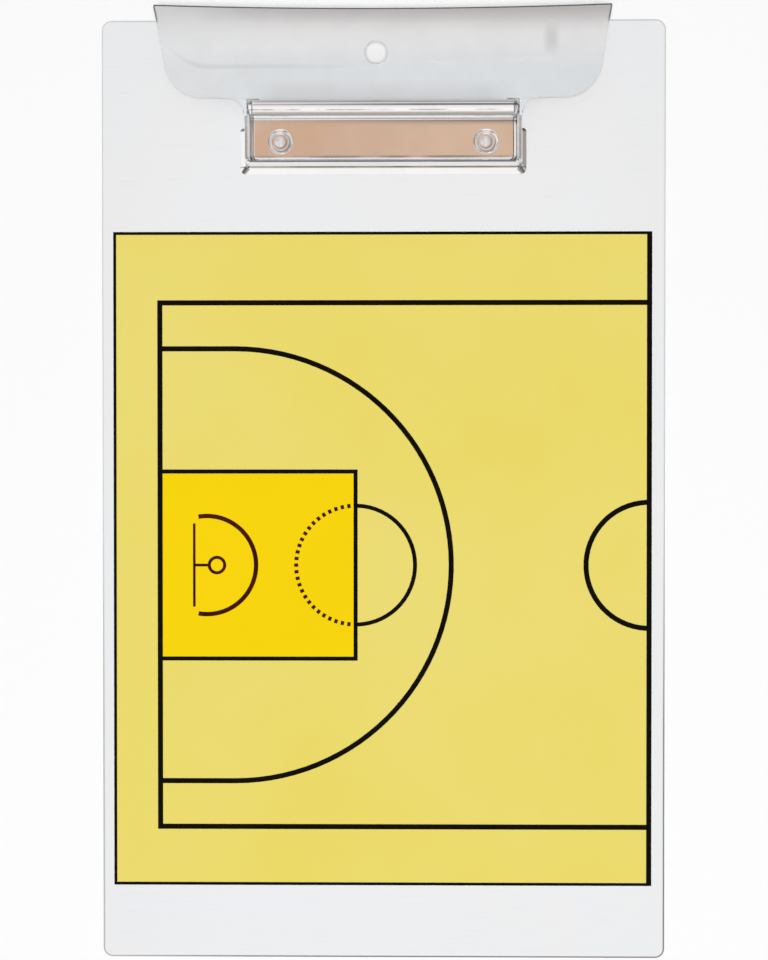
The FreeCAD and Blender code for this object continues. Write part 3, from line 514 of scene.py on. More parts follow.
def film_group(name):
    """Wipe-clean film: broad clouds of tone, a faint orange peel and hairline wiping marks"""
    tree, given, result = new_group(
        name, {"Cloud Scale": 14.0, "Peel Scale": 1400.0}, ("Cloud", "Peel", "Wiped"))
    place = object_place(tree)
    cloud = noise(tree, place, given["Cloud Scale"], detail=3.0)
    wiped = stretched_noise(tree, WIPE_STRETCH, detail=4.0, roughness=0.65)
    connect(tree, result, {
        "Cloud": map_range(tree, cloud, *CLOUD_SPAN),
        "Peel": noise(tree, place, given["Peel Scale"], detail=1.0),
        "Wiped": map_range(tree, wiped, *WIPE_SPAN),
    })
    return tree


def plating_group(name):
    """Plated sheet: slow waves of the pressing, handling smudges and fine hairlines"""
    tree, given, result = new_group(
        name, {"Wave Scale": 55.0, "Smudge Scale": 70.0}, ("Smudge", "Hairline", "Height"))
    place = object_place(tree)
    wave = noise(tree, place, given["Wave Scale"], detail=1.0)
    smudge = noise(tree, place, given["Smudge Scale"], detail=4.0, roughness=0.6)
    hairline = stretched_noise(tree, HAIRLINE_STRETCH, detail=3.0, roughness=0.6)
    connect(tree, result, {
        "Smudge": map_range(tree, smudge, *SMUDGE_SPAN),
        "Hairline": hairline,
        "Height": math_node(tree, "ADD", wave, product(tree, hairline, HAIRLINE_HEIGHT)),
    })
    return tree


def add_group(tree, name, maker, inputs=None):
    """Places a node group, which is made when it is first wanted"""
    group = bpy.data.node_groups.get(name) or maker(name)
    return add_node(tree, "ShaderNodeGroup", inputs, node_tree=group)


def new_material(name):
    material = bpy.data.materials.new(name)
    material.use_nodes = True
    tree = material.node_tree
    return material, tree, tree.nodes["Principled BSDF"]


def add_marks(tree, tone, marks):
    """Lays marks over a tone; each is a mask's maker and a colour"""
    for mask, marked_color in marks:
        tone = mix_colour(tree, mask(tree), tone, marked_color)
    return tone


def finish_surface(tree, surface, tone, rough, height, strength, depth):
    """Gives a surface its colour, its roughness and a bump"""
    bump = add_node(tree, "ShaderNodeBump", {"Height": height, "Strength": strength, "Distance": depth})
    connect(tree, surface, {"Base Color": tone, "Roughness": rough, "Normal": bump.outputs["Normal"]})


# Marks, painted light and painted shade, each a mask

def painted_light_under_wing(tree):
    """Painted light: the face is coloured brighter under the lever's wing, against the shade the wing casts there
    """
    across, along = board_place(tree)
    return product(tree, strip_mask(tree, across, *PAINTED_LIGHT_STRIP), map_range(tree, along, *PAINTED_LIGHT_ALONG))


def painted_edge_shade(tree):
    """Painted shade: a thin dark line along the face's outline, darker towards the board's foot and right side"""
    across, along = board_place(tree)
    radius = mm(bpy.context.scene.tactics_board.corner_radius)
    past = []
    for place, reach in ((across, FACE_HIGH.x), (along, FACE_HIGH.y)):
        beyond = math_node(tree, "SUBTRACT", math_node(tree, "ABSOLUTE", place), reach - radius)
        past.append(math_node(tree, "MAXIMUM", beyond))
    line = map_range(tree, distance(tree, *past), radius - EDGE_LINE, radius - EDGE_LINE / 2)
    return product(
        tree, line, map_range(tree, along, *EDGE_LINE_DOWN), map_range(tree, across, *EDGE_LINE_ACROSS))


def broken_line(tree, along, strip, breaks):
    """A thin line across the clip, with breaks in it"""
    stretch, span = breaks
    whole = map_range(tree, stretched_noise(tree, stretch), *span)
    return product(tree, strip_mask(tree, along, *strip), whole)


def plateau_painted_shade(tree):
    """Painted shade and reflection lines: along the hood's foot and crest, on the hood, by the plateau's front
    edge
    """
    across, along = clip_place(tree)
    # Painted shade along the hood's foot, darker towards the right
    near = map_range(tree, along, *HOOD_FOOT_SHADE)
    foot = product(
        tree, near, near, map_range(tree, along, *HOOD_FOOT_END), map_range(tree, across, *HOOD_FOOT_ACROSS))
    # Painted dark line on the hood's crest
    crest_shade = product(
        tree, strip_mask(tree, along, *HOOD_CREST_SHADE_STRIP), map_range(tree, across, *HOOD_CREST_SHADE_ACROSS))
    # Painted broken dark line near the plateau's front edge
    edge = broken_line(tree, along, PLATEAU_EDGE_SHADE_STRIP, PLATEAU_BREAKS)
    # Painted broken reflection line on the hood's front
    reflection_line = broken_line(tree, along, HOOD_REFLECTION_LINE_STRIP, REFLECTION_LINE_BREAKS)
    return strongest(tree, foot, edge, crest_shade, reflection_line)


def hood_reflection_band(tree):
    """A grey-blue reflection band painted along the steep front of the hood"""
    along = clip_place(tree)[1]
    return product(tree, strip_mask(tree, along, *HOOD_REFLECTION_BAND_STRIP), HOOD_REFLECTION_BAND_STRENGTH)


def rivet_painted_shade(tree):
    """Painted shade round the foot of each rivet's head, heavier on one side"""
    x, y = board_place(tree)
    shade_x, shade_y = RIVET_SHADE_OFFSET
    aside = math_node(tree, "SUBTRACT", math_node(tree, "ABSOLUTE", x), RIVET_X)
    turned = product(tree, aside, math_node(tree, "SIGN", x))
    across = math_node(tree, "SUBTRACT", turned, shade_x)
    along = math_node(tree, "SUBTRACT", y, RIVET_Y + shade_y)
    away = distance(tree, across, along)
    return map_range(tree, away, RIVET_SHADE_START * RIVET_RADIUS, RIVET_RADIUS, 0.0, RIVET_SHADE_STRENGTH)


def painted_side_shade(tree, aside, along):
    """Painted shade: a dark strip along the wing's leaning sides, near its top edge"""
    look = bpy.context.scene.tactics_clip
    below_top = math_node(tree, "SUBTRACT", wing_ends(look)[1] - HINGE.y, along)
    side = math_node(tree, "ADD", aside, product(tree, below_top, math.tan(look.wing_lean)))
    side_x = mm(look.tip_width) / 2
    side_darkening = map_range(tree, side, side_x - SIDE_SHADE_WIDTH, side_x - SIDE_SHADE_WIDTH / 2, 0.0, SIDE_SHADE_STRENGTH)
    return product(tree, side_darkening, map_range(tree, along, *SIDE_SHADE_ALONG))


def lever_marks_and_painted_shade(tree):
    """Painted reflection on the wing and flare tips, painted shade by the hood, in the jaw's crease and on the
    wing's sides, and a dull spot
    """
    across, along = clip_place(tree)
    aside = math_node(tree, "ABSOLUTE", across)
    # Painted reflection line where the wing's flat part turns into its curl, bowing near the left side
    beyond = math_node(tree, "MAXIMUM", math_node(tree, "SUBTRACT", BEND_REFLECTION_BOW_START, across))
    unbowed = math_node(tree, "SUBTRACT", along, product(tree, beyond, beyond, BEND_REFLECTION_BOW))
    pressed = product(
        tree, strip_mask(tree, unbowed, *BEND_REFLECTION_STRIP), map_range(tree, across, *BEND_REFLECTION_RIGHT),
        map_range(tree, across, *BEND_REFLECTION_LEFT))
    spot = product(
        tree, strip_mask(tree, across, *DULL_SPOT_ACROSS), strip_mask(tree, along, *DULL_SPOT_ALONG),
        DULL_SPOT_STRENGTH)
    # Painted shade on the wing next to the hood
    shade_by_hood = product(
        tree, map_range(tree, along, *WING_FOOT_SHADE), map_range(tree, along, *WING_FOOT_START),
        strip_mask(tree, across, *WING_FOOT_STRIP))
    # Painted broken shade line in the jaw's crease
    crease = broken_line(tree, along, JAW_CREASE_SHADE_STRIP, CREASE_SHADE_BREAKS)
    # Painted dark reflection at the flare tips
    tip = product(tree, strip_mask(tree, along, *FLARE_TIP_REFLECTION_STRIP), map_range(tree, aside, *FLARE_TIP_REFLECTION_ASIDE))
    return strongest(tree, pressed, spot, shade_by_hood, crease, tip, painted_side_shade(tree, aside, along))


# Materials

def film_material(name, main_color, second_color, cloud_scale, gloss, wiped_color=None, marks=()):
    """Print or plain white under one satin film"""
    material, tree, surface = new_material(name)
    film = add_group(tree, "wipe_clean_film", film_group, {"Cloud Scale": cloud_scale})
    wiped = film.outputs["Wiped"]
    tone = mix_colour(tree, film.outputs["Cloud"], main_color, second_color)
    if wiped_color:
        tone = mix_colour(tree, product(tree, wiped, WIPED_STRENGTH), tone, wiped_color)
    tone = add_marks(tree, tone, marks)
    rough = map_range(tree, wiped, *FILM_ROUGHNESS)
    finish_surface(tree, surface, tone, rough, film.outputs["Peel"], *PEEL_BUMP)
    surface.inputs["Specular IOR Level"].default_value = gloss
    return material


def white_material(name, look, marks=()):
    """The wipe-clean white of the board's faces"""
    return film_material(name, look.face_color, look.face_tint, FACE_CLOUDS, FACE_GLOSS, WIPED_COLOR, marks)


def cut_edge_material(name, main_color, marks=()):
    """Sawn plastic: layered along the thickness, with saw marks across it"""
    material, tree, surface = new_material(name)
    saw = stretched_noise(tree, SAW_STRETCH, detail=3.0, roughness=0.7)
    layer = stretched_noise(tree, LAYER_STRETCH)
    mark = product(tree, math_node(tree, "ADD", saw, layer), 0.5)
    tone = mix_colour(tree, map_range(tree, mark, *SAW_SPAN), main_color, scaled(main_color, SAW_SHADE))
    tone = add_marks(tree, tone, marks)
    finish_surface(tree, surface, tone, map_range(tree, mark, *SAW_ROUGHNESS), mark, *SAW_BUMP)
    return material


def plated_material(name, main_color, polish, waves, satin_color=None, marks=None, film=None, metal=1.0):
    """Chrome plating on pressed sheet; polish is its least and most roughness

    With a satin colour, the plating turns from bright to satin behind the hinge. Marks make a mask of dark marks
    and painted shade, and film makes one of a painted reflection band with some haze.
    """
    material, tree, surface = new_material(name)
    plating = add_group(tree, "plated_sheet", plating_group)
    smudge = plating.outputs["Smudge"]
    tone = main_color
    rough = map_range(tree, smudge, 0.0, 1.0, *polish)
    surface.inputs["Metallic"].default_value = metal
    if satin_color:
        behind = map_range(tree, clip_place(tree)[1], *SATIN_ALONG)
        tone = mix_colour(tree, behind, main_color, satin_color)
        rough = math_node(tree, "ADD", rough, product(tree, behind, SATIN_HAZE))
        connect(tree, surface, {"Metallic": map_range(tree, behind, 0.0, 1.0, metal, SATIN_METAL)})
    # Handling smudges, in the colour shared with the painted shade
    tone = mix_colour(tree, product(tree, smudge, SMUDGE_STRENGTH), tone, SMUDGE_AND_SHADE_COLOR)
    # Marks, most of them painted shade, and the hood's painted reflection band darken the tone and add haze
    for maker, dull_color, haze in ((marks, SMUDGE_AND_SHADE_COLOR, MARK_HAZE), (film, REFLECTION_BAND_COLOR, REFLECTION_BAND_HAZE)):
        if maker:
            mask = maker(tree)
            tone = mix_colour(tree, mask, tone, dull_color)
            rough = math_node(tree, "ADD", rough, product(tree, mask, haze))
    finish_surface(tree, surface, tone, rough, plating.outputs["Height"], waves, WAVE_DEPTH)
    return material


def drawn_steel_material(name, main_color):
    """Plain drawn steel with fine lines along it"""
    material, tree, surface = new_material(name)
    lines = stretched_noise(tree, DRAWN_STRETCH, detail=3.0, roughness=0.65)
    darker = scaled(main_color, DRAWN_SHADE)
    tone = mix_colour(tree, map_range(tree, lines, *DRAWN_SPAN), main_color, darker)
    finish_surface(tree, surface, tone, map_range(tree, lines, *DRAWN_ROUGHNESS), lines, *DRAWN_BUMP)
    surface.inputs["Metallic"].default_value = 1.0
    return material


def dress(node, material):
    """Puts a material on a node of the frame"""
    for slot in frame["nodes"][node].material_slots:
        slot.material = material


# Mesh helpers, in millimetres

def new_object(name, data):
    made = bpy.data.objects.new(name, data)
    bpy.context.scene.collection.objects.link(made)
    return made


def to_mesh(name, shape):
    """Makes a mesh of a bmesh, which is used up"""
    mesh = bpy.data.meshes.new(name)
    shape.to_mesh(mesh)
    shape.free()
    return mesh


def mesh_object(name, shape):
    """Makes an object in millimetres of a bmesh, for later joining"""
    return new_object(name, to_mesh(name, shape))


def finish_piece(name, mesh, replaced, materials):
    """Scales a mesh from millimetres, shades it and puts it in place of its node"""
    mesh.transform(Matrix.Scale(MM, 4))
    for material in materials:
        mesh.materials.append(material)
    mesh.shade_smooth()
    piece = new_object(name, mesh)
    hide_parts(replaced)
    return piece


def flat_outline(places, z=0.0):
    """A flat face with a corner at each of the places"""
    shape = bmesh.new()
    shape.faces.new([shape.verts.new((x, y, z)) for x, y in places])
    return shape


def face_outwards(shape):
    bmesh.ops.recalc_face_normals(shape, faces=shape.faces[:])


def verts_of(parts):
    return [part for part in parts if isinstance(part, bmesh.types.BMVert)]


def edges_of(parts):
    return [part for part in parts if isinstance(part, bmesh.types.BMEdge)]


def thicken(shape, way):
    """Gives a flat sheet a thickness along a way"""
    grown = bmesh.ops.extrude_face_region(shape, geom=shape.faces[:], use_keep_orig=True)["geom"]
    bmesh.ops.translate(shape, verts=verts_of(grown), vec=way)


def extrude_ring(shape, ring):
    """Grows a wall from a ring of edges; gives the vertices and edges of its far ring, still to be moved"""
    grown = bmesh.ops.extrude_edge_only(shape, edges=ring)["geom"]
    verts = verts_of(grown)
    return verts, [edge for edge in edges_of(grown) if all(vert in verts for vert in edge.verts)]


def slice_across(shape, axis, places):
    """Cuts a mesh along planes square to an axis, so that it can follow a bend"""
    normal = Vector((0, 0, 0))
    normal[axis] = 1
    for place in places:
        everything = shape.verts[:] + shape.edges[:] + shape.faces[:]
        bmesh.ops.bisect_plane(
            shape, geom=everything, dist=SAME_SPOT, plane_co=normal * place, plane_no=normal)


def bevel(shape, parts, offset, segments, affect="EDGES", material=-1, clamp_overlap=False):
    bmesh.ops.bevel(
        shape, geom=parts, offset=offset, offset_type="OFFSET", affect=affect, segments=segments,
        profile=ROUND, material=material, clamp_overlap=clamp_overlap)


def round_corner(shape, x, y, offset, segments):
    """Rounds the corner of a flat outline that stands nearest a place"""
    corner = min(shape.verts, key=lambda vert: (vert.co.xy - Vector((x, y))).length)
    bevel(shape, [corner], offset, segments, affect="VERTICES")


def punch(shape, x, y, half_width, half_height, margin, segments):
    """Makes a round or oval hole in a flat sheet, in a square patch of its own"""
    wide, high = half_width + margin, half_height + margin
    slice_across(shape, 0, (x - wide, x + wide))
    slice_across(shape, 1, (y - high, y + high))
    inside = [
        face for face in shape.faces
        if abs(face.calc_center_median().x - x) < wide and abs(face.calc_center_median().y - y) < high
    ]
    rim = {
        edge for face in inside for edge in face.edges
        if sum(near in inside for near in edge.link_faces) == 1
    }
    bmesh.ops.delete(shape, geom=inside, context="FACES_ONLY")
    oval = bmesh.ops.create_circle(
        shape, cap_ends=False, radius=1.0, segments=segments,
        matrix=Matrix.Translation((x, y, 0)) @ Matrix.Diagonal((half_width, half_height, 1, 1)))
    ring = {edge for vert in oval["verts"] for edge in vert.link_edges}
    bmesh.ops.triangle_fill(shape, edges=list(rim | ring), use_beauty=True, normal=(0, 0, 1))


def sharp_edges(shape, least):
    return [edge for edge in shape.edges if len(edge.link_faces) == 2 and edge.calc_face_angle() > least]


def round_cut_edges(shape, look, wanted):
    """Rounds the sheet's cut edges whose two ends are wanted"""
    edges = [edge for edge in sharp_edges(shape, CUT_ANGLE) if all(wanted(vert) for vert in edge.verts)]
    bevel(shape, edges, mm(look.edge_round), EDGE_STEPS, clamp_overlap=True)


# Board

def front_sheet(look):
    """White face sheet with round corners, rivet holes and a trimmed rim"""
    shape = bmesh.new()
    bmesh.ops.create_grid(shape, x_segments=1, y_segments=1, size=1.0)
    half = (FACE_HIGH - FACE_LOW) / 2
    bmesh.ops.scale(shape, verts=shape.verts, vec=(half.x, half.y, 1))
    for x in (-half.x, half.x):
        for y in (-half.y, half.y):
            round_corner(shape, x, y, mm(look.corner_radius), BOARD_CORNER_STEPS)
    hole = mm(look.rivet_hole) / 2
    for x in (-RIVET_X, RIVET_X):
        punch(shape, x, RIVET_Y, hole, hole, hole, RIVET_HOLE_STEPS)
    bmesh.ops.translate(shape, verts=shape.verts, vec=(0, 0, FACE_LOW.z))
    thicken(shape, (0, 0, FACE_HIGH.z - FACE_LOW.z))
    face_outwards(shape)
    rim = [
        edge for edge in sharp_edges(shape, CORNER_ANGLE)
        if min(vert.co.z for vert in edge.verts) > FACE_HIGH.z - SAME_SPOT
        and max(abs(edge.verts[0].co.x) / half.x, abs(edge.verts[0].co.y) / half.y) > NEAR_OUTLINE
    ]
    bevel(shape, rim, mm(look.rim_width) / 2, RIM_STEPS, material=1)
    return to_mesh("front_face", shape)


class TACTICS_OT_board(bpy.types.Operator):
    """White front face with its trimmed rim, the sawn core and the back face"""
    bl_idname = "tactics.board"
    bl_label = "Board"

    def execute(self, context):
        look = context.scene.tactics_board
        # Painted shade along the outline, on the white face and its trimmed rim
        outline = (painted_edge_shade, EDGE_SHADE_COLOR)
        # The white face gets painted light under the wing
        white = white_material("white_film_painted_light_and_shade", look, ((painted_light_under_wing, look.painted_light_color), outline))
        rim = cut_edge_material("trimmed_rim_painted_shade", look.rim_color, (outline,))
        piece = finish_piece("front_face", front_sheet(look), "front_face_sheet", (white, rim))
        piece.data.set_sharp_from_angle(angle=SHADE_ANGLE)
        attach(piece, "board")
        dress("board_core", cut_edge_material("sawn_core", look.core_color))
        dress("back_face_sheet", white_material("back_film", look))
        return {"FINISHED"}


class TACTICS_OT_court(bpy.types.Operator):
    """Printed half court: field, key and all lines"""
    bl_idname = "tactics.court"
    bl_label = "Court Print"

    def execute(self, context):
        look = context.scene.tactics_board
        paler = [part + (1 - part) * FIELD_FADING for part in look.field_color]
        deeper = scaled(look.key_color, KEY_DEEPENING)
        line_thin = scaled(look.line_color, INK_THINNING)
        mark_thin = scaled(look.mark_color, INK_THINNING)
        for name, ink, second, clouds, gloss, nodes in (
            ("field_ink", look.field_color, paler, FIELD_CLOUDS, FIELD_GLOSS, ("court_field_print",)),
            ("key_ink", look.key_color, deeper, KEY_CLOUDS, FIELD_GLOSS, ("key_print",)),
            ("line_ink", look.line_color, line_thin, INK_CLOUDS, INK_GLOSS, ("court_line_print",)),
            ("mark_ink", look.mark_color, mark_thin, INK_CLOUDS, INK_GLOSS,
             ("throw_dash_print", "basket_print")),
        ):
            material = film_material(name, ink, second, clouds, gloss)
            for node in nodes:
                dress(node, material)
        return {"FINISHED"}


# Clip

def wing_ends(look):
    """Where the wing's flat part and its curl end, along the board"""
    slope = look.slope
    start_y = HINGE.y + mm(look.flat_length) * math.cos(slope) - mm(look.over) * math.sin(slope)
    return start_y, start_y + mm(look.curl_radius) * (math.sin(look.curl_end) - math.sin(slope))


def wing_height(look, y):
    """Top of the wing's sheet over the board's back, at a distance along the board"""
    slope = look.slope
    radius = mm(look.curl_radius)
    start_y = wing_ends(look)[0]
    start_z = HINGE.z + mm(look.flat_length) * math.sin(slope) + mm(look.over) * math.cos(slope)
    if y <= start_y:
        return start_z + (y - start_y) * math.tan(slope)
    centre_y = start_y - radius * math.sin(slope)
    centre_z = start_z + radius * math.cos(slope)
    return centre_z - math.sqrt(radius ** 2 - (y - centre_y) ** 2)


def wing_slope(look, y):
    """Slope of the wing at a distance along the board"""
    return math.atan2(wing_height(look, y) - wing_height(look, y - SLOPE_STEP), SLOPE_STEP)


def wing_sheet(look):
    """The lever's sheet, cut flat to its plan outline, bent to its curl and given its thickness"""
    start_y, tip_y = wing_ends(look)
    tip_x = mm(look.tip_width) / 2
    edge_y = HINGE.y + mm(look.wing_reach)
    side_x = tip_x - (tip_y - edge_y) * math.tan(look.wing_lean)
    inner, outer = mm(look.arm_inner), mm(look.arm_inner + look.sheet)
    tongue = mm(look.tongue_half)
    right = [
        (tongue, HINGE.y + mm(look.tongue_reach)),
        (tongue, HINGE.y + mm(look.neck_clear)),
        (inner, HINGE.y + mm(look.neck_clear)),
        (inner, HINGE.y - mm(look.neck_reach)),
        (outer, HINGE.y - mm(look.neck_reach)),
        (outer, edge_y),
        (side_x, edge_y),
        (tip_x, tip_y),
    ]
    left = [(-x, y) for x, y in reversed(right)]
    shape = flat_outline(right + left)
    corner_reach = mm(look.wing_corner) * math.tan((math.pi / 2 - look.wing_lean) / 2)
    for side in (-1, 1):
        round_corner(shape, side * outer, edge_y, mm(look.neck_fillet), NECK_STEPS)
        round_corner(shape, side * side_x, edge_y, corner_reach, WING_CORNER_STEPS)
        round_corner(shape, side * tip_x, tip_y, TIP_CORNER, TIP_CORNER_STEPS)
    axis = Vector(HANG_HOLE["axis"])
    middle = HOLE_MIDDLE + axis * mm(look.sheet) / 2
    punch(shape, middle.x, middle.y, HOLE_RADIUS, HOLE_RADIUS * axis.z, HOLE_MARGIN, HANG_HOLE_STEPS)
    bends = int((tip_y - start_y) / BEND_STEP)
    slice_across(shape, 1, [start_y + BEND_STEP * step for step in range(bends)])
    columns = int(tip_x / COLUMN_STEP)
    slice_across(shape, 0, [COLUMN_STEP * (step + 0.5) for step in range(-columns, columns)])
    dip_y = middle.y + HOLE_RADIUS + HOLE_MARGIN
    for vert in shape.verts:
        share = max(0.0, (vert.co.y - dip_y) / (tip_y - dip_y))
        vert.co.y -= mm(look.top_sag) * (1 - (vert.co.x / tip_x) ** 2) * share
        vert.co.z = wing_height(look, vert.co.y)
    face_outwards(shape)
    if sum(face.normal.z for face in shape.faces) < 0:
        bmesh.ops.reverse_faces(shape, faces=shape.faces[:])
    bmesh.ops.solidify(shape, geom=shape.faces[:], thickness=mm(look.sheet))
    face_outwards(shape)
    beside_arms = outer + mm(look.sheet)
    round_cut_edges(
        shape, look, lambda vert: vert.co.y > edge_y - SAME_SPOT or abs(vert.co.x) > beside_arms)
    return mesh_object("wing", shape)


def arm_plate(look, side):
    """One side arm, from the neck round the hinge and forwards to the jaw"""
    low = HINGE.z - mm(look.arm_low)
    rear = HINGE.y + mm(look.arm_low)
    neck = HINGE.y - mm(look.neck_reach)
    shoulder = HINGE.y - mm(look.arm_shoulder)
    front = HINGE.y - mm(look.arm_front)
    crown = HINGE.z + mm(look.arm_crown)
    half_sheet = mm(look.sheet) / 2 / math.cos(look.slope)
    shape = flat_outline((
        (front, low),
        (rear, low),
        (rear, wing_height(look, rear) - half_sheet),
        (neck, wing_height(look, neck) - half_sheet),
        (shoulder, crown),
        (front, crown),
    ))
    round_corner(shape, rear, low, mm(look.arm_low), ARM_STEPS)
    round_corner(shape, shoulder, crown, SHOULDER_RADIUS, SHOULDER_STEPS)
    upright = Matrix(((0, 0, 1, 0), (1, 0, 0, 0), (0, 1, 0, 0), (0, 0, 0, 1)))
    bmesh.ops.transform(shape, matrix=upright, verts=shape.verts)
    thicken(shape, (mm(look.sheet), 0, 0))
    bmesh.ops.translate(shape, verts=shape.verts, vec=(mm(look.arm_inner), 0, 0))
    bmesh.ops.scale(shape, verts=shape.verts, vec=(side, 1, 1))
    face_outwards(shape)
    return mesh_object("arm", shape)


def jaw_wall(look):
    """The front of the lever: a wall round the base plate's front that flares out to a foot"""
    outer = mm(look.arm_inner + look.sheet)
    corner = mm(look.jaw_corner)
    flare = mm(look.jaw_flare)
    foot_x = outer + flare
    front = HINGE.y - mm(look.jaw_front)
    rear = HINGE.y - mm(look.jaw_rear)
    floor = HINGE.z - mm(look.jaw_floor)
    shape = flat_outline(((-foot_x, rear), (-foot_x, front), (foot_x, front), (foot_x, rear)), floor)
    for side in (-1, 1):
        round_corner(shape, side * foot_x, front, corner, JAW_CORNER_STEPS)
    closing = [edge for edge in shape.edges if all(vert.co.y > rear - SAME_SPOT for vert in edge.verts)]
    bmesh.ops.delete(shape, geom=shape.faces[:], context="FACES_ONLY")
    bmesh.ops.delete(shape, geom=closing, context="EDGES")
    side_band = foot_x - corner - SAME_SPOT
    front_band = front + corner + SAME_SPOT
    levels = (
        (mm(look.jaw_floor - look.jaw_crease), flare + SINK, mm(look.jaw_foot)),
        (mm(look.jaw_crease + look.arm_crown) - SINK, 0.0, mm(look.jaw_lean)),
    )
    edges = shape.edges[:]
    rings = []
    for rise, inwards, backwards in levels:
        verts, edges = extrude_ring(shape, edges)
        for vert in verts:
            vert.co.z += rise
            if vert.co.y > rear - flare:
                vert.co.x = math.copysign(outer - SINK, vert.co.x)
            elif abs(vert.co.x) > side_band:
                vert.co.x -= math.copysign(inwards, vert.co.x)
            if vert.co.y < front_band:
                vert.co.y += backwards
        side_band -= inwards
        front_band += backwards
        rings.append(edges)
    bevel(shape, rings[0], mm(look.jaw_bend), JAW_BEND_STEPS)
    face_outwards(shape)
    if sum(face.normal.y * face.calc_area() for face in shape.faces) > 0:
        bmesh.ops.reverse_faces(shape, faces=shape.faces[:])
    bmesh.ops.solidify(shape, geom=shape.faces[:], thickness=mm(look.sheet))
    face_outwards(shape)
    tips = [
        edge for edge in shape.edges
        if all(vert.co.y > rear - SAME_SPOT and abs(vert.co.x) > outer + flare / 2 for vert in edge.verts)
    ]
    bevel(shape, tips, mm(look.jaw_tip), JAW_TIP_STEPS, clamp_overlap=True)
    for vert in shape.verts:
        vert.co.z = max(vert.co.z, floor)
    return mesh_object("jaw", shape)


def cross_bar(radius, half_length):
    """A round bar along the hinge axis"""
    shape = bmesh.new()
    bmesh.ops.create_cone(
        shape, cap_ends=True, segments=PIN_HOLE_STEPS, radius1=radius, radius2=radius, depth=2 * half_length,
        matrix=Matrix.Translation(HINGE) @ Matrix.Rotation(math.pi / 2, 4, "Y"))
    return mesh_object("bar", shape)


def combine(base, others, operation):
    """Joins or cuts solids and gives the result as one mesh"""
    for other in others:
        step = base.modifiers.new(operation.lower(), "BOOLEAN")
        step.operation = operation
        step.solver = "EXACT"
        step.object = other
    graph = bpy.context.evaluated_depsgraph_get()
    mesh = bpy.data.meshes.new_from_object(base.evaluated_get(graph))
    for used in (base, *others):
        bpy.data.objects.remove(used)
    return mesh


def lever_mesh(look):
    """Wing, arms and jaw as one sheet; its cut edges and the hang hole's rim get materials of their own"""
    arms = [arm_plate(look, side) for side in (-1, 1)]
    joined = combine(wing_sheet(look), [*arms, jaw_wall(look)], "UNION")
    bar = cross_bar(mm(look.pin_hole) / 2, mm(look.arm_inner + 3 * look.sheet))
    mesh = combine(new_object("lever", joined), [bar], "DIFFERENCE")
    shape = bmesh.new()
    shape.from_mesh(mesh)
    bmesh.ops.remove_doubles(shape, verts=shape.verts[:], dist=SAME_SPOT)
    if not shape.faces or any(len(edge.link_faces) != 2 for edge in shape.edges):
        raise RuntimeError("the wing, arms and jaw don't join into one closed sheet")
    wing_front = HINGE.y + mm(look.wing_reach - look.edge_round)
    round_cut_edges(shape, look, lambda vert: vert.co.y < wing_front - 2 * mm(look.edge_round))
    sheet = mm(look.sheet)
    arm_middle = mm(look.arm_inner) + sheet / 2
    arm_end = HINGE.y - mm(look.neck_reach)
    for face in shape.faces:
        middle = face.calc_center_median()
        lean = wing_slope(look, middle.y)
        across = abs(face.normal.z * math.cos(lean) - face.normal.y * math.sin(lean))
        on_wing_edge = across < STEEP and middle.y > HINGE.y + DARK_EDGE
        along_arm = abs(abs(middle.x) - arm_middle) < sheet / 2
        on_arm_edge = along_arm and face.normal.z > STEEP and middle.y < arm_end
        in_hole = across < NEARLY_FLAT and (middle - HOLE_MIDDLE).length < HOLE_RADIUS + sheet
        face.material_index = 3 if in_hole else 2 if on_arm_edge else int(on_wing_edge)
    shape.to_mesh(mesh)
    shape.free()
    return mesh


def wire_way(place):
    """The way the wire runs at a place round the coil"""
    return Vector((0, math.sin(place), -math.cos(place)))


def spring_mesh(look, side):
    """One torsion spring: lower leg, coil about the hinge axis and upper leg; also its coil's length"""
    first, last = look.lower_angle, look.upper_angle - look.whole_turns * math.tau
    turned = first - last
    steps = int(turned / COIL_STEP)
    reach = mm(look.pitch) * turned / math.tau
    radius = mm(look.coil_radius)
    joint = Vector((
        mm(look.spacing) - reach / 2,
        HINGE.y + radius * math.cos(first),
        HINGE.z + radius * math.sin(first),
    ))
    lower_leg = wire_way(first) * mm(look.lower_leg)
    facing = wire_way(first).to_track_quat("Z", "X").to_matrix().to_4x4()
    shape = bmesh.new()
    bmesh.ops.create_circle(
        shape, cap_ends=True, radius=mm(look.wire) / 2, segments=WIRE_STEPS,
        matrix=Matrix.Translation(joint - lower_leg) @ facing)
    verts, rim = extrude_ring(shape, shape.edges[:])
    bmesh.ops.translate(shape, verts=verts, vec=lower_leg)
    wound = bmesh.ops.spin(
        shape, geom=rim, cent=HINGE, axis=(1, 0, 0), dvec=(reach / steps, 0, 0), angle=-turned, steps=steps)
    verts, rim = extrude_ring(shape, edges_of(wound["geom_last"]))
    bmesh.ops.translate(shape, verts=verts, vec=wire_way(last) * mm(look.upper_leg))
    bmesh.ops.contextual_create(shape, geom=rim)
    bmesh.ops.scale(shape, verts=shape.verts, vec=(side, 1, 1))
    bmesh.ops.remove_doubles(shape, verts=shape.verts[:], dist=SAME_SPOT)
    face_outwards(shape)
    bevel(shape, sharp_edges(shape, CORNER_ANGLE), mm(look.wire) * WIRE_END_SHARE, EDGE_STEPS)
    return to_mesh("torsion_spring", shape), reach


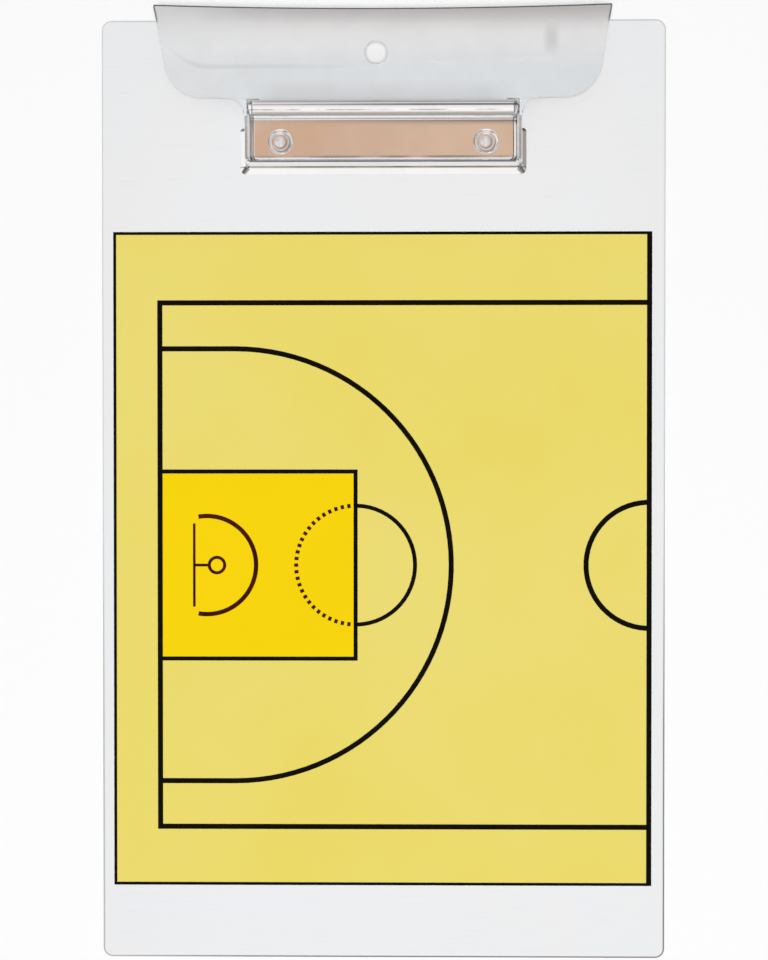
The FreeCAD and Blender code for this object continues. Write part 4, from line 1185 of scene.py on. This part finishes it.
class TACTICS_OT_base_plate(bpy.types.Operator):
    """Bright plated base plate, rivets and hinge pin"""
    bl_idname = "tactics.base_plate"
    bl_label = "Base Plate"

    def execute(self, context):
        look = context.scene.tactics_clip
        # The base plate's plating carries painted shade and a painted reflection band on the hood
        dress("clip_base_plate", plated_material(
            "bright_plating_painted_shade", look.base_color, BRIGHT_POLISH, BASE_WAVES,
            marks=plateau_painted_shade, film=hood_reflection_band))
        # The rivets' plating carries painted shade round each head
        dress("rivets", plated_material(
            "rivet_plating_painted_shade", look.rivet_color, RIVET_POLISH, RIVET_WAVES,
            marks=rivet_painted_shade, metal=RIVET_METAL))
        dress("hinge_pin", drawn_steel_material("drawn_pin", look.steel_color))
        return {"FINISHED"}


class TACTICS_OT_lever(bpy.types.Operator):
    """Sprung lever: curled wing with its hang hole, side arms and front jaw"""
    bl_idname = "tactics.lever"
    bl_label = "Clip Lever"

    def execute(self, context):
        look = context.scene.tactics_clip
        plating = (look.base_color, BRIGHT_POLISH, LEVER_WAVES)
        materials = (
            # The wing's satin plating carries painted reflection and painted shade
            plated_material("satin_plating_painted_shade", *plating, look.lever_color, lever_marks_and_painted_shade),
            drawn_steel_material("sheared_edge", look.edge_color),
            drawn_steel_material("arm_edge", look.arm_edge_color),
            plated_material("hole_rim", *plating),
        )
        piece = finish_piece("sprung_lever", lever_mesh(look), "clip_lever", materials)
        piece.data.set_sharp_from_angle(angle=SHADE_ANGLE)
        even = piece.modifiers.new("even_shading", "WEIGHTED_NORMAL")
        even.keep_sharp = True
        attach(piece, "lever")
        return {"FINISHED"}


class TACTICS_OT_springs(bpy.types.Operator):
    """Two torsion springs on the hinge pin, under the hood"""
    bl_idname = "tactics.springs"
    bl_label = "Springs"

    def execute(self, context):
        look = context.scene.tactics_springs
        steel = drawn_steel_material("drawn_wire", context.scene.tactics_clip.steel_color)
        for side, name in ((-1, "left"), (1, "right")):
            mesh, reach = spring_mesh(look, side)
            piece = finish_piece(name + "_torsion_spring", mesh, name + "_spring", (steel,))
            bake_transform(piece)
        return {"FINISHED"}


class TACTICS_OT_stage(bpy.types.Operator):
    """Camera, floor, world and a soft lamp"""
    bl_idname = "tactics.stage"
    bl_label = "Stage"

    def execute(self, context):
        look = context.scene.tactics_stage
        context.scene.view_settings.view_transform = "Standard"
        self.make_camera(context, look)
        self.make_floor(look)
        self.make_world(context, look)
        self.make_lamp(look)
        return {"FINISHED"}

    def make_camera(self, context, look):
        camera = new_object("camera", bpy.data.cameras.new("camera"))
        camera.location = look.camera_place
        camera.rotation_euler = Euler(look.camera_tilt)
        camera.data.sensor_fit = "VERTICAL"
        camera.data.sensor_height = SENSOR_HEIGHT
        camera.data.lens = look.focal_pixels / PHOTO_HEIGHT * SENSOR_HEIGHT
        context.scene.camera = camera

    def make_floor(self, look):
        """A pale floor that turns white to the camera far from the board"""
        shape = bmesh.new()
        bmesh.ops.create_grid(shape, x_segments=1, y_segments=1, size=FLOOR_SIZE)
        bmesh.ops.translate(shape, verts=shape.verts, vec=(0, 0, -FLOOR_DROP))
        mesh = to_mesh("floor", shape)
        material, tree, surface = new_material("floor")
        connect(tree, surface, {"Base Color": (*look.floor_color, 1), "Roughness": FLOOR_ROUGHNESS})
        away = add_node(tree, "ShaderNodeVectorMath", {0: object_place(tree)}, operation="LENGTH")
        seen = add_node(tree, "ShaderNodeLightPath").outputs["Is Camera Ray"]
        far = product(tree, map_range(tree, away.outputs["Value"], *FLOOR_FADE), seen)
        white = add_node(tree, "ShaderNodeEmission").outputs["Emission"]
        blend = add_node(tree, "ShaderNodeMixShader", {0: far, 1: surface.outputs["BSDF"], 2: white})
        connect(tree, tree.nodes["Material Output"], {"Surface": blend.outputs["Shader"]})
        mesh.materials.append(material)
        new_object("floor", mesh)

    def make_world(self, context, look):
        """White to the camera, an even room for soft light, and banded walls in the plating"""
        world = bpy.data.worlds.new("studio")
        context.scene.world = world
        world.use_nodes = True
        tree = world.node_tree
        way = add_node(tree, "ShaderNodeTexCoord").outputs["Generated"]
        parts = add_node(tree, "ShaderNodeSeparateXYZ", {0: way}).outputs
        across, along = parts["X"], parts["Y"]
        aside = math_node(tree, "ABSOLUTE", across)
        ramp = add_node(tree, "ShaderNodeValToRGB", {0: map_range(tree, along, -1.0, 1.0)})
        stops = ramp.color_ramp.elements
        while len(stops) < len(STUDIO_BANDS):
            stops.new(1.0)
        for stop, (place, tone) in zip(stops, STUDIO_BANDS):
            stop.position = (place + 1) / 2
            stop.color = (*tone, 1)
        tan = product(tree, map_range(tree, across, *TAN_LEFT), strip_mask(tree, along, *TAN_STRIP))
        post = product(
            tree, map_range(tree, aside, *POST_INNER_SIDE), map_range(tree, aside, *POST_OUTER_SIDE))
        corner = product(tree, map_range(tree, aside, *CORNER_SIDE), map_range(tree, along, *CORNER_REAR))
        ceiling = product(
            tree, map_range(tree, aside, *CEILING_SIDE), map_range(tree, along, *CEILING_REAR),
            map_range(tree, parts["Z"], *CEILING_HEIGHT))
        room = ramp.outputs["Color"]
        for mask, tone in (
            (tan, TAN_COLOR),
            (map_range(tree, across, *GLOW_LEFT), WHITE),
            (post, POST_COLOR),
            (map_range(tree, across, *WINDOW_LEFT), WHITE),
            (map_range(tree, across, *DIM_RIGHT), DIM_COLOR),
            (corner, CORNER_COLOR),
            (ceiling, CEILING_COLOR),
            (map_range(tree, noise(tree, way, PATCH_SCALE), *PATCH_SPAN), PATCH_COLOR),
        ):
            room = mix_colour(tree, mask, room, tone)
        path = add_node(tree, "ShaderNodeLightPath").outputs
        lit = mix_colour(tree, path["Is Glossy Ray"], scaled(WHITE, look.room_light), room)
        seen = mix_colour(tree, path["Is Camera Ray"], lit, WHITE)
        connect(tree, tree.nodes["Background"], {"Color": seen})

    def make_lamp(self, look):
        """A broad soft lamp that the plating doesn't mirror"""
        lamp = bpy.data.lights.new("soft_lamp", "AREA")
        lamp.energy = look.lamp_power
        lamp.shape = "SQUARE"
        lamp.size = LAMP_SIZE
        made = new_object("soft_lamp", lamp)
        made.location = look.lamp_place
        made.rotation_euler = (-Vector(look.lamp_place)).to_track_quat("-Z", "Y").to_euler()
        made.visible_glossy = False


class TACTICS_PT_panel(bpy.types.Panel):
    """The pieces of the tactics board, in the order they are made"""
    bl_idname = "TACTICS_PT_panel"
    bl_label = "Tactics Board"
    bl_space_type = "VIEW_3D"
    bl_region_type = "UI"
    bl_category = "Tactics Board"

    def draw(self, context):
        for kind in OPERATORS:
            self.layout.operator(kind.bl_idname)


OPERATORS = (
    TACTICS_OT_board, TACTICS_OT_court, TACTICS_OT_base_plate, TACTICS_OT_lever, TACTICS_OT_springs,
    TACTICS_OT_stage,
)
LOOKS = (
    ("tactics_board", BoardLook), ("tactics_clip", ClipLook), ("tactics_springs", SpringLook),
    ("tactics_stage", StageLook),
)


def register():
    for name, kind in LOOKS:
        bpy.utils.register_class(kind)
        setattr(bpy.types.Scene, name, bpy.props.PointerProperty(type=kind))
    for kind in (*OPERATORS, TACTICS_PT_panel):
        bpy.utils.register_class(kind)


def unregister():
    for kind in (TACTICS_PT_panel, *reversed(OPERATORS)):
        bpy.utils.unregister_class(kind)
    for name, kind in reversed(LOOKS):
        delattr(bpy.types.Scene, name)
        bpy.utils.unregister_class(kind)


def main():
    register()
    bpy.ops.tactics.board()
    bpy.ops.tactics.court()
    bpy.ops.tactics.base_plate()
    bpy.ops.tactics.lever()
    bpy.ops.tactics.springs()
    bpy.ops.tactics.stage()


if __name__ == "__main__":
    main()
